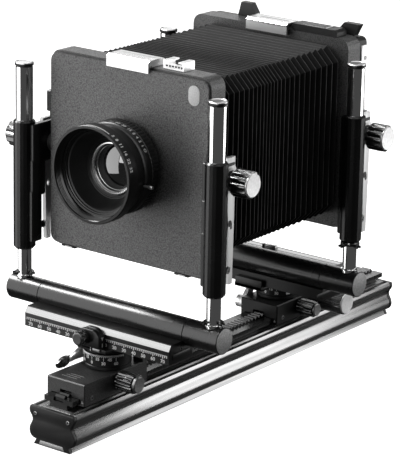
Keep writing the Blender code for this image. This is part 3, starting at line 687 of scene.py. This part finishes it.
def front_lever():
    """Swing lever: a round eye and a flat arm that falls forward to a faceted grip."""
    low, high = span("front_swing_lever")
    y, z = LEVER_PIVOT
    lean = Matrix.Translation((0, y, z)) @ Matrix.Rotation(math.radians(LEVER_FALL), 4, "X")
    arm = arc(0, 0, 5.5, -120, 240, 20) + [(-14.0, 2.4), (-19.0, 2.1), (-19.0, -2.1), (-14.0, -2.4)]
    lever = Shape(PALE, GRIP, WHITE, STEEL)
    lever.prism("X", arm, low.x + 0.4, high.x - 0.4, 0.5, 0, turn=lean)
    screw(lever, "X", (low.x + 0.4, y, z), 3.2, -0.5, 3, 1)
    flat = lean @ Matrix.Translation((-24.4, -14.5, 0)) @ Matrix.Diagonal((0.74, 1.0, 1.0, 1.0))
    grip = [(0.0, -1.5), (2.9, -1.5, 2), (2.9, -2.6, 1), (3.0, -3.0), (4.3, -7.0), (4.7, -11.0),
            (3.2, -17.4), (2.4, -18.4), (0.0, -18.5)]
    lever.lathe("Y", (0, 0, 0), grip, 1, 6, turn=flat)
    lever.build("front_swing_handle", "front_swing_lever", ["front_swing_lever"], 24)


def rear_lever():
    edge_wear("rear_clamp_lever", PALE, 0.5)
    tip = Shape(GRIP, STEEL)
    tip.box((-25.6, 68.6, 59.6), (-19.8, 75.4, 68.8), 1.2, 0, 3)
    screw(tip, "X", (-30.0, 60.5, 46.0), 3.4, -0.5, 1, 0)
    tip.build("rear_lever_tip", "rear_clamp_lever")


for end, _ in ENDS:
    carriage(end)
for end, way in ENDS:
    turret(end)
    swing_head(end, way)
front_lever()
rear_lever()


# ---- shift bars and cross tubes

STRIP_LIFT = 1.8


def scale_marks(shape, face_y, way, top, tone):
    """Millimetre scale along a bar: strokes hanging from a line, numerals below them."""
    def on_bar(x, drop):
        return facing((x, face_y, top - drop), (0, way, 0), (0, 0, 1))

    for x in range(-74, 75, 2):
        tall = 0.9 if x % 10 else 1.35
        mark(shape, on_bar(x, tall), 0.5, tall, tone, 0.07)
    mark(shape, on_bar(0, 0.0), 74.5, 0.32, tone, 0.07)
    for x in range(-70, 71, 10):
        shape.words(str(abs(x)), 4.0, on_bar(x, 5.2), tone, 0.18, 1.1, 0.035)


def front_bar_section(out_y, in_y, bottom, top):
    """A bar with a bevelled upper front edge that carries a bright band."""
    outline = [(out_y, bottom), (out_y, top - 5.2), (out_y + 3.4, top), (in_y - 6.0, top),
               (in_y, top - 6.0), (in_y, bottom)]
    band = [(out_y - 0.1, top - 5.25), (out_y + 0.9, top - 5.25), (out_y + 3.6, top - 1.2),
            (out_y + 2.84, top - 0.72)]
    return outline, band


def rear_bar_section(out_y, in_y, bottom, top):
    """A deeper bar, stepped down under the tube, with a bright strip on top of its outer half."""
    outline = [(out_y, bottom), (out_y, top - 3.0), (out_y - 3.0, top), (in_y + 9.5, top),
               (in_y + 8.2, top - 3.0), (in_y + 8.2, top - 12.5), (in_y, top - 16.0), (in_y, bottom)]
    band = [(out_y - 0.8, top - 1.8), (in_y + 15.2, top - 0.4), (in_y + 15.2, top + STRIP_LIFT),
            (out_y - 0.8, top + STRIP_LIFT)]
    return outline, band


def shift_bar(side, sign):
    node = side + "_shift_bar"
    low, high = span(node)
    top = high.z
    out_y, in_y = (low.y, high.y) if sign < 0 else (high.y, low.y)
    section = front_bar_section if sign < 0 else rear_bar_section
    outline, band = section(out_y, in_y, low.z, top)
    bar = Shape(SATIN, BAND, WHITE, ENAMEL)
    bar.prism("X", outline, low.x, high.x, 0.45, 0)
    bar.prism("X", band, low.x + 0.5, high.x - 0.5, 0, 1)
    if sign > 0:
        for y, wide in ((in_y + 18.6, 0.6), (in_y + 21.6, 0.5), (out_y - 1.5, 0.9)):
            bar.box((low.x + 0.6, y, top + STRIP_LIFT - 0.2),
                    (high.x - 0.6, y + wide, top + STRIP_LIFT + 0.15), 0, 3)
        bar.box((-2.5, out_y - 9.0, top + 1.0), (9.0, out_y - 4.0, top + 4.6), 0.9, 1, 3)
        bar.box((-5.6, out_y - 8.2, top + 1.0), (-2.9, out_y - 4.8, top + 4.2), 0.5, 0)
    scale_marks(bar, out_y, sign, top - 9.2, 2)
    stop_out, stop_in = out_y - 4.2 * sign, in_y - (4.0 if sign < 0 else 8.6)
    for x, way in ((low.x, -1), (high.x, 1)):
        bar.box((x, stop_out, low.z + 3.4), (x + 0.5 * way, stop_in, low.z + 8.4), 0.2, 3)
        screw(bar, "X", (x + 0.4 * way, (out_y + in_y) / 2, low.z + 11.0), 1.6, 0.35 * way, 1, 0)
    bar.build(side + "_shift_slide", side + "_shift", [node], 30)


def cross_tube(side):
    """Middle sleeve of the tube and its two ends; the left end carries the shaft that joins them."""
    node = side + "_cross_tube"
    low, high = span(node)
    mid = middle(node)
    place = (0, mid.y, mid.z)
    tube = Shape(TUBE_SKIN)
    wall = [(7.3, low.x), (TUBE - 0.2, low.x), (TUBE, low.x + 0.25), (TUBE, high.x - 0.25),
            (TUBE - 0.2, high.x), (7.3, high.x)]
    tube.lathe("X", place, wall, 0, 96, ring=True)
    tube.build(side + "_tube_sleeve", side + "_shift", [node], 30)
    for hand, sign in SIDES:
        node = side + "_tube_end_" + hand
        low, high = span(node)
        inner, outer = TUBE_HALF * sign, high.x if sign > 0 else low.x
        end_cap = Shape(TUBE_SKIN, GREY, STEEL)
        profile = [(7.4, inner, 2), (TUBE - 0.2, inner), (TUBE, inner + 0.25 * sign),
                   (TUBE, outer - 0.7 * sign), (TUBE - 0.5, outer - 0.1 * sign, 1),
                   (TUBE - 1.0, outer, 1), (0.0, outer, 1), (0.0, outer - 12.0 * sign, 2),
                   (7.4, outer - 12.0 * sign, 2)]
        end_cap.lathe("X", place, profile, 0, 96, ring=True)
        if hand == "left":
            shaft = [(0.0, outer + 11.0), (7.0, outer + 11.0), (7.0, high.x), (0.0, high.x)]
            end_cap.lathe("X", place, shaft, 2, 40)
        end_cap.build(side + "_tube_cap_" + hand, side + "_base", [node], 30)


for end, way in ENDS:
    shift_bar(end, way)
    cross_tube(end)


# ---- uprights

def snap_ring(shape, centre, z, tone):
    """Open spring ring with two lugs at each end of the gap."""
    outer = arc(centre.x, centre.y, 8.2, -14, 268, 30)
    inner = arc(centre.x, centre.y, 6.1, -14, 268, 30)
    shape.prism("Z", outer + inner[::-1], z, z + 1.3, 0.2, tone)
    for degrees in (-14, 8, 232, 254):
        spin = Matrix.Rotation(math.radians(degrees), 4, "Z")
        turn = Matrix.Translation((centre.x, centre.y, z)) @ spin
        shape.box((7.1, -0.8, 0.0), (10.2, 0.8, 1.9), 0.3, tone, turn=turn)


def rod(side, hand, centre):
    """Rod with its stop collar and a snap ring above it."""
    node = side + "_rod_" + hand
    low, high = span(node)
    shape = Shape(CHROME, SATIN)
    profile = [(0.0, low.z), (ROD, low.z), (ROD, 106.8), (7.0, 107.1), (7.0, 108.1), (6.4, 108.5),
               (ROD, 108.6), (ROD, high.z - 0.6), (ROD - 0.6, high.z), (0.0, high.z)]
    shape.lathe("Z", centre, profile, 0, 64)
    if side == "front":
        snap_ring(shape, centre, 108.9, 1)
    else:
        snap_ring(shape, centre, 127.8, 1)
        band = [(ROD, 129.7), (8.2, 129.7), (8.2, 131.3), (ROD, 131.3)]
        shape.lathe("Z", centre, band, 1, 48, ring=True)
    shape.build("rod_" + side + "_" + hand, side + "_base", [node], 35)


def post(side, hand, centre):
    """Hollow post, closed by a cap with a dark side and a bright rim."""
    node = side + "_post_" + hand
    low, high = span(node)
    top = high.z
    shape = Shape(CHROME, SATIN, SILVER)
    profile = [(6.2, low.z), (POST, low.z), (POST, top - 3.9), (POST - 0.5, top - 3.8, 1),
               (POST - 0.5, top - 3.2, 1), (POST_CAP - 0.3, top - 3.1, 1), (POST_CAP, top - 2.8, 1),
               (POST_CAP, top - 0.9, 2), (POST_CAP - 0.3, top - 0.3, 2), (7.1, top - 0.05, 2),
               (6.6, top - 0.45, 2), (0.0, top - 0.45, 2), (0.0, top - 7.0, 1), (6.2, top - 7.0, 1)]
    shape.lathe("Z", centre, profile, 0, 80, ring=True)
    shape.build("post_" + side + "_" + hand, side + "_rise", [node], 35)


def side_bar(side, hand, sign):
    """Finish of the bracket beside a frame, and the slots, ring and screws on its outer face; the slot and
    holes are flat black shapes, painted shade for the openings.
    """
    node = side + "_bracket_" + hand
    edge_wear(node, SIDE_SILVER, 0.3, 1)
    low, high = span(node)
    axis = middle(side + "_tilt_knob_" + hand)
    face = high.x if sign > 0 else low.x
    mid_y = (low.y + high.y) / 2
    sunk, proud = face - 0.3 * sign, face + 0.35 * sign
    trim = Shape(SATIN, STEEL, SILVER)
    # painted shade: the slot and the two holes are flat black shapes laid on the face
    trim.prism("X", rounded(5.6, 1.3, 1.2, mid_y - 1.0, high.z - 5.6), sunk, proud, 0, 0)
    ring = [(5.9, sunk), (8.4, sunk), (8.4, face + 0.3 * sign), (5.9, face + 0.3 * sign)]
    trim.lathe("X", (0, axis.y, axis.z), ring, 0, 48, ring=True)
    for hole in (rounded(2.3, 2.7, 2.2, mid_y, 186.0), rounded(2.6, 3.2, 2.5, mid_y - 1.0, 147.5)):
        trim.prism("X", hole, sunk, face + 0.12 * sign, 0, 0)
    screw(trim, "X", (face, mid_y - 1.4, 146.6), 1.9, 0.5 * sign, 1, 0)
    screw(trim, "X", (face, mid_y - 0.2, 149.6), 1.0, 0.6 * sign, 2, 2)
    trim.build("side_bar_trim_" + side + "_" + hand, side + "_rise")


def upright(side, hand, sign):
    centre = Vector((UPRIGHT_X * sign, middle(side + "_post_" + hand).y, 0.0))
    rod(side, hand, centre)
    post(side, hand, centre)
    edge_wear(side + "_sleeve_" + hand, SLEEVE_SKIN, 0.4)
    side_bar(side, hand, sign)


for end, _ in ENDS:
    for hand, way in SIDES:
        upright(end, hand, way)


# ---- frames, board, locks

def lock(side, strokes):
    """Bright slide lock with wear lines on top: left margin, right margin, y, width, sink, lift, tone."""
    node = side + "_lock"
    edge_wear(node, SILVER, 0.5)
    low, high = span(node)
    lines = Shape(STEEL, SATIN)
    for left, right, y, wide, sink, lift, tone in strokes:
        start = (low.x + left, low.y + y, high.z - sink)
        lines.box(start, (high.x - right, start[1] + wide, high.z + lift), 0, tone)
    lines.build(side + "_lock_lines", node)


def lens_board():
    edge_wear("lens_board", CRINKLE, 0.7)
    face = span("lens_board")[0].y
    badge = Shape(WHITE, SILVER)
    badge.prism("Y", rounded(5.6, 8.2, 5.4, 67.7, 287.5), face - 0.45, face + 0.2, 0.15, 0)
    badge.build("board_badge", "front_standard")
    clips = Shape(SATIN, WHITE)
    for left in (-68.0, 51.5):
        clips.box((left - 0.1, face - 1.3, 136.7), (left + 14.6, face + 4.5, 138.1), 0.3, 0)
        clips.box((left + 4.0, face - 1.5, 136.9), (left + 11.5, face - 1.2, 137.9), 0.1, 1)
    clips.build("board_clips", "front_standard")


def accessory_shoe():
    edge_wear("accessory_shoe", SILVER, 0.35)
    low = span("accessory_shoe")[0]
    dots = Shape(SATIN)
    for i in range(6):
        x = low.x + 3.0 + i * 3.0
        dots.box((x, low.y - 0.08, low.z + 2.2), (x + 1.7, low.y + 0.3, low.z + 3.6), 0.1)
    dots.build("shoe_dots", "front_standard")


def level():
    """Spirit level on the rear frame, with a graduated cover."""
    edge_wear("rear_level", PLASTIC, 0.4)
    low, high = span("rear_level")
    cover = Shape(STEEL, SILVER, GLASS)
    for i in range(7):
        x = low.x + 8.0 + 3.1 * i
        cover.box((x, low.y + 3.5, high.z - 0.2), (x + 0.55, high.y - 2.5, high.z + 0.12), 0, 0)
    cover.box((low.x + 33.0, low.y + 1.5, high.z - 0.3), (low.x + 34.2, high.y - 0.5, high.z + 0.35),
              0.1, 1)
    cover.box((low.x + 12.0, low.y + 1.2, high.z - 0.2), (low.x + 32.0, low.y + 1.6, high.z + 0.15), 0, 1)
    cover.build("level_scale", "rear_standard")


def spring_back():
    """Moulded back with a pale strip on its right edge, two flat springs and four screws."""
    edge_wear("spring_back", PLASTIC, 0.7)
    edge_wear("ground_glass", FROST, 0.15, 1)
    low, high = span("spring_back")
    edge = Shape(EDGE_STRIP, SATIN, STEEL)
    edge.box((high.x - 0.4, low.y + 2.4, low.z + 7.0), (high.x + 1.5, high.y - 0.8, 294.0), 0.5, 0)
    for z in (150.0, 219.5, 283.0):
        screw(edge, "X", (high.x + 1.5, low.y + 7.4, z), 1.9, 0.4, 2, 1)
    edge.box((high.x + 1.3, low.y + 5.0, 170.0), (high.x + 1.7, low.y + 9.4, 208.0), 0.1, 2)
    edge.build("back_edge_strip", "spring_back")
    springs = Shape(SATIN, STEEL, SILVER)
    for way in (-1, 1):
        for z in (164.0, 275.0):
            screw(springs, "Y", (66.0 * way, high.y, z), 2.4, 0.5, 1, 0)
    for x in (-72.5, 72.5):
        springs.box((x - 2.2, high.y - 0.3, 185.0), (x + 2.2, high.y + 1.0, 254.0), 0.5, 2)
    springs.build("back_springs", "spring_back")


edge_wear("front_frame", CASTING, 0.9, 3)
edge_wear("rear_frame", CASTING, 0.9, 3)
lens_board()
lock("front", ((0.4, 0.4, 2.4, 0.35, 0.25, 0.1, 1), (2.0, 6.0, 9.0, 0.3, 0.2, 0.06, 0),
               (1.0, 3.0, 14.0, 0.3, 0.2, 0.06, 0)))
accessory_shoe()
lock("rear", ((0.4, 0.4, 2.2, 0.3, 0.25, 0.07, 0), (8.0, 4.0, 9.0, 2.4, 0.2, 0.06, 0),
              (2.0, 2.0, 16.0, 0.3, 0.2, 0.06, 0)))
level()
spring_back()


# ---- lens

def around_lens(degrees, radius, y, z):
    """Placement on a ring about the lens axis, facing outwards."""
    a = math.radians(degrees)
    out = (math.cos(a), 0, math.sin(a))
    return facing((radius * out[0], y, z + radius * out[2]), out, (0, 1, 0))


def ring_text(shape, text, radius, y, z, start, step, size, tone):
    """Characters set around the lens axis, read clockwise from the front; | and - are drawn strokes."""
    for i, glyph in enumerate(text):
        turn = around_lens(start - step * i, radius, y, z)
        if glyph == "|":
            mark(shape, turn, 0.22, 1.1, tone)
        elif glyph == "-":
            mark(shape, turn, 1.0, 0.4, tone)
        elif glyph != " ":
            shape.words(glyph, size, turn, tone, 0.14, 1.0, 0.04)


def turned(shape, profile, tone=0, count=120, ring=True, flutes=0):
    """Turns a profile of (radius, distance in front of the board) about the lens axis."""
    place = (0, span("lens_board")[0].y, middle("lens_barrel").z)
    rows = [(point[0], -point[1]) + tuple(point[2:]) for point in profile]
    shape.lathe("Y", place, rows, tone, count, ring, flutes)


def lens_barrel(face, z):
    """Rim with filter threads, stepped well, rear tube and outer wall, in one closed profile."""
    barrel = Shape(SATIN, WELL, BRIGHT, WHITE, THREAD)
    profile = [(39.9, 45.9), (38.0, 46.0, 4), (37.5, 45.5, 4)]
    for i in range(4):
        depth = 44.9 - 1.5 * i
        profile += [(37.5, depth, 4), (38.1, depth - 0.4, 4), (37.3, depth - 0.9, 4)]
    profile += [(36.2, 38.6, 4), (36.0, 37.1, 4), (34.6, 36.7, 4), (34.4, 35.7, 4), (33.6, 35.3, 4),
                (33.4, 34.1, 1), (32.2, 33.5, 1), (25.3, 20.8, 1), (24.9, 20.0, 4), (24.5, 19.9, 1),
                (23.9, 19.1, 4), (23.5, 19.0, 1), (22.8, 18.2, 4), (22.3, 18.0, 1), (21.5, 17.5, 2),
                (21.2, 18.1, 2), (20.4, 18.2, 2), (19.9, 17.5, 2), (19.85, 15.9, 1), (19.85, 10.8, 1),
                (18.5, 10.6, 1), (18.5, -18.0), (22.8, -18.0), (22.8, 12.8), (27.0, 12.8),
                (27.0, 22.5), (BARREL - 0.3, 22.5), (BARREL, 22.8), (BARREL, 31.6),
                (37.4, 33.4), (LENS_RIM, 35.2), (LENS_RIM, 45.3)]
    turned(barrel, profile, 0, 144)
    for i in range(13):
        mark(barrel, around_lens(97 - 2.6 * i, LENS_RIM, face - 43.9, z), 1.0, 1.05 - 0.05 * i, 3, 0.1)
    ring_text(barrel, "5 8 11 16 22 32", LENS_RIM, face - 42.4, z, 60, 3.3, 4.0, 3)
    barrel.build("lens_rim", "front_standard", ["lens_barrel"], 30)


def front_element():
    """A shallow dome with a flat back."""
    glass = Shape(GLASS)
    dome = [(GLASS_EDGE * i / 16, 20.2 - 4.4 * (i / 16) ** 2) for i in range(17)]
    turned(glass, dome + [(GLASS_EDGE, 11.2), (0.0, 11.2)], 0, 96, False)
    glass.build("front_element", "front_standard", ["lens_glass"], 35)


def shutter(face, z):
    """Shutter housing with a fluted setting ring, speed numbers and a release stub."""
    house = Shape(SATIN, WHITE, SILVER, STEEL)
    profile = [(27.4, 22.0), (35.6, 22.0), (36.6, 21.6), (38.2, 20.5), (SHUTTER, 19.8), (SHUTTER, 15.2),
               (38.1, 14.9), (38.1, 14.4), (39.0, 14.1, 0, 0.5), (39.0, 7.0, 0, 0.5), (38.2, 6.6),
               (37.8, 5.2), (36.6, 2.6), (33.5, 1.2), (31.0, 0.6), (29.4, 0.4), (29.4, -4.6), (23.2, -4.6),
               (23.2, 12.4), (27.4, 12.4)]
    turned(house, profile, 0, 288, True, 72)
    ring_text(house, "-| 60 30 15 8 4 2 1 O", SHUTTER, face - 17.4, z, 94, 3.1, 3.9, 1)
    stub = [(3.2, face - 9.0), (3.2, face - 1.0), (0.0, face - 1.0), (0.0, face - 9.0)]
    house.lathe("Y", (-38.0, 0, z + 14.0), stub, 0, 24)
    house.build("shutter_housing", "front_standard", ["lens_shutter"], 30)


def aperture_tab():
    low, high = span("aperture_lever")
    tab = Shape(SILVER, SATIN)
    tab.box((low.x, low.y + 0.6, low.z + 1.2), (high.x - 0.6, high.y - 0.6, high.z - 0.9), 0.3, 0)
    tab.box((low.x + 5.2, low.y + 0.2, low.z + 0.7), (high.x, high.y - 0.2, high.z - 0.4), 0.5, 0)
    tab.build("aperture_tab", "aperture_lever", ["aperture_lever"], 35)


def lens():
    face = span("lens_board")[0].y
    z = middle("lens_barrel").z
    lens_barrel(face, z)
    front_element()
    shutter(face, z)
    aperture_tab()


lens()


# ---- bellows

FOLDS = 26
FOLD_DEPTH = 4.6
SKIN = 1.1
HEM = 9.0
CORNER = 12.0


def fold_positions(low, high):
    """Ridge positions along the bellows: tightest just before the middle, a little wider at the rear."""
    steps = []
    for i in range(FOLDS - 1):
        t = i / (FOLDS - 2)
        pinch = math.exp(-((t - 0.42) / 0.24) ** 2)
        steps.append(1.0 - 0.46 * pinch + 0.1 * t)
    spots = [low]
    for step in steps:
        spots.append(spots[-1] + (high - low) * step / sum(steps))
    return spots


def loop(half_x, low_z, high_z, corner):
    """Octagonal outline of one fold, starting at the top right."""
    return [(half_x - corner, high_z), (-half_x + corner, high_z), (-half_x, high_z - corner),
            (-half_x, low_z + corner), (-half_x + corner, low_z), (half_x - corner, low_z),
            (half_x, low_z + corner), (half_x, high_z - corner)]


def fold_rows(low, high):
    """(place, depth below the ridges, painted ridge highlight) along the bellows: outside, then back
    inside.
    """
    ridges = fold_positions(low + 6.0, high - 5.0)
    rows = [(low + 0.1, HEM, 0.0), (low + 2.2, HEM, 0.0), (low + 2.8, FOLD_DEPTH, 0.0)]
    for i, y in enumerate(ridges):
        rows += [(y - 0.22, 0.0, 1.0), (y + 0.22, 0.0, 1.0)]
        if i < len(ridges) - 1:
            rows.append((y + (ridges[i + 1] - y) / 2, FOLD_DEPTH, 0.0))
    rows += [(high - 2.8, FOLD_DEPTH, 0.0), (high - 2.2, HEM, 0.0), (high - 0.1, HEM, 0.0)]
    return rows + [(y, dip + SKIN, 0.0) for y, dip, _ in rows[::-1]]


def bellows():
    low, high = span("bellows")
    bm = bmesh.new()
    # the fold layer carries the painted ridge highlight to the cloth material
    fold_layer = bm.verts.layers.float.new("fold")
    ride_layer = bm.verts.layers.float.new("rear_share")
    rings = []
    for y, dip, fold in fold_rows(low.y, high.y):
        share = (y - low.y) / (high.y - low.y)
        sag = 1.2 * math.sin(math.pi * share)
        ring = []
        for x, z in loop(high.x - dip, low.z + dip, high.z - 1.0 - dip - sag, CORNER - dip * 0.4):
            vert = bm.verts.new((x * MM, y * MM, z * MM))
            vert[fold_layer] = fold
            vert[ride_layer] = share
            ring.append(vert)
        rings.append(ring)
    for k, a in enumerate(rings):
        b = rings[(k + 1) % len(rings)]
        for i in range(8):
            j = (i + 1) % 8
            bm.faces.new((a[i], a[j], b[j], b[i]))
    bmesh.ops.recalc_face_normals(bm, faces=bm.faces)
    mesh = bpy.data.meshes.new("bellows_folds")
    bm.to_mesh(mesh)
    bm.free()
    mesh.materials.append(CLOTH)
    ob = add("bellows_folds", mesh)
    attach(ob, "rail")
    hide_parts("bellows")
    follow(ob)


def follow(ob):
    """Each point goes with the front standard, the rear standard, or between them by its share."""
    group = bpy.data.node_groups.new("follow_standards", "GeometryNodeTree")
    for way in ("INPUT", "OUTPUT"):
        group.interface.new_socket("Geometry", in_out=way, socket_type="NodeSocketGeometry")
    new, link = group.nodes.new, group.links.new
    here = new("GeometryNodeInputPosition")
    share = new("GeometryNodeInputNamedAttribute")
    share.data_type = "FLOAT"
    share.inputs["Name"].default_value = "rear_share"
    mix = new("ShaderNodeMix")
    mix.data_type = "VECTOR"
    link(share.outputs["Attribute"], mix.inputs["Factor"])
    ends = [s for s in mix.inputs if s.type == "VECTOR" and s.name in ("A", "B")]
    for name, end in zip(("body:front_standard", "body:rear_standard"), ends):
        info = new("GeometryNodeObjectInfo")
        info.transform_space = "ORIGINAL"
        info.inputs["Object"].default_value = bpy.data.objects[name]
        move = new("FunctionNodeTransformPoint")
        link(here.outputs["Position"], move.inputs["Vector"])
        link(info.outputs["Transform"], move.inputs["Transform"])
        link(move.outputs["Vector"], end)
    put = new("GeometryNodeSetPosition")
    link(new("NodeGroupInput").outputs["Geometry"], put.inputs["Geometry"])
    link([s for s in mix.outputs if s.type == "VECTOR"][0], put.inputs["Position"])
    link(put.outputs["Geometry"], new("NodeGroupOutput").inputs["Geometry"])
    ob.modifiers.new("follow_standards", "NODES").node_group = group


bellows()


# ---- stage

FLOOR_HALF = 14.0
ROOM = 0.06


def backdrop():
    skin = Skin("pale_sweep", 0.92, 0.85)
    skin.grade("Base Color", skin.noise(9.0, detail=6.0), 0.9, 0.93)
    skin.bump(skin.noise(1200.0), 0.01)
    fill(skin.base, Emission_Color=(1.0, 1.0, 1.0, 1.0), Emission_Strength=0.95)
    mesh = bpy.data.meshes.new("floor")
    corners = [(FLOOR_HALF * x, FLOOR_HALF * y, 0) for x, y in ((-1, -1), (1, -1), (1, 1), (-1, 1))]
    mesh.from_pydata(corners, [], [(0, 1, 2, 3)])
    mesh.materials.append(skin.made)
    floor = add("floor", mesh)
    floor.visible_glossy = False
    floor.visible_diffuse = False


def softbox(name, spot, aim, wide, tall, power, fills=True):
    """A rectangular light aimed at a point; one that doesn't fill shows only in reflections."""
    lamp = bpy.data.lights.new(name, "AREA")
    lamp.shape = "RECTANGLE"
    lamp.size = wide
    lamp.size_y = tall
    lamp.energy = power
    ob = add(name, lamp)
    ob.location = spot
    ob.rotation_euler = (Vector(aim) - Vector(spot)).to_track_quat("-Z", "Y").to_euler()
    ob.visible_diffuse = fills


def sky():
    """White behind the object, and only a faint glow on it."""
    world = bpy.data.worlds.new("studio")
    bpy.context.scene.world = world
    world.use_nodes = True
    tree = world.node_tree
    back = fill(tree.nodes["Background"], Color=(1.0, 1.0, 1.0, 1.0))
    seen = tree.nodes.new("ShaderNodeLightPath")
    level = fill(tree.nodes.new("ShaderNodeMapRange"), To_Min=ROOM, To_Max=1.05)
    tree.links.new(seen.outputs["Is Camera Ray"], level.inputs["Value"])
    tree.links.new(level.outputs["Result"], back.inputs["Strength"])


backdrop()
sky()
softbox("left_box", (-1.15, -1.15, 0.5), (0, 0, 0.4), 1.7, 1.95, 25)
softbox("right_box", (1.1, 1.25, 0.5), (0, 0, 0.4), 1.3, 1.5, 17)
softbox("top_box", (0.0, 0.25, 1.7), (0, 0, 0.15), 1.6, 1.6, 12)
softbox("high_left", (-1.0, -0.3, 1.35), (0, -0.1, 0.1), 0.6, 0.7, 44, False)
softbox("front_card", (0.2, -1.6, 0.8), (0, 0, 0.8), 1.4, 1.2, 22, False)
softbox("back_card", (-0.95, 1.25, 0.5), (0, 0, 0.12), 1.0, 0.5, 3.6, False)

AZIMUTH, ELEVATION, ROLL = 37.26, 16.9, 1.13
DISTANCE = 2.07578
AIM = (0.0, -0.0885, 0.17)
SHIFT = (0.03023, -0.01494)
SENSOR = 36.0
LENS = 197.1


def camera():
    az, el, roll = (math.radians(v) for v in (AZIMUTH, ELEVATION, ROLL))
    back = Vector((math.sin(az) * math.cos(el), -math.cos(az) * math.cos(el), math.sin(el)))
    right = Vector((math.cos(az), math.sin(az), 0.0))
    up = back.cross(right)
    across = right * math.cos(roll) + up * math.sin(roll)
    above = up * math.cos(roll) - right * math.sin(roll)
    spot = Vector(AIM) + right * SHIFT[0] + up * SHIFT[1] + back * DISTANCE
    view = bpy.data.cameras.new("view")
    view.sensor_fit = "AUTO"
    view.sensor_width = SENSOR
    view.lens = LENS
    view.clip_start = 0.05
    view.clip_end = 60.0
    view.dof.use_dof = False
    place = Matrix((across, above, back)).transposed().to_4x4()
    place.translation = spot
    ob = add("view", view)
    ob.matrix_world = place
    bpy.context.scene.camera = ob
    bpy.context.scene.view_settings.view_transform = "Standard"


camera()
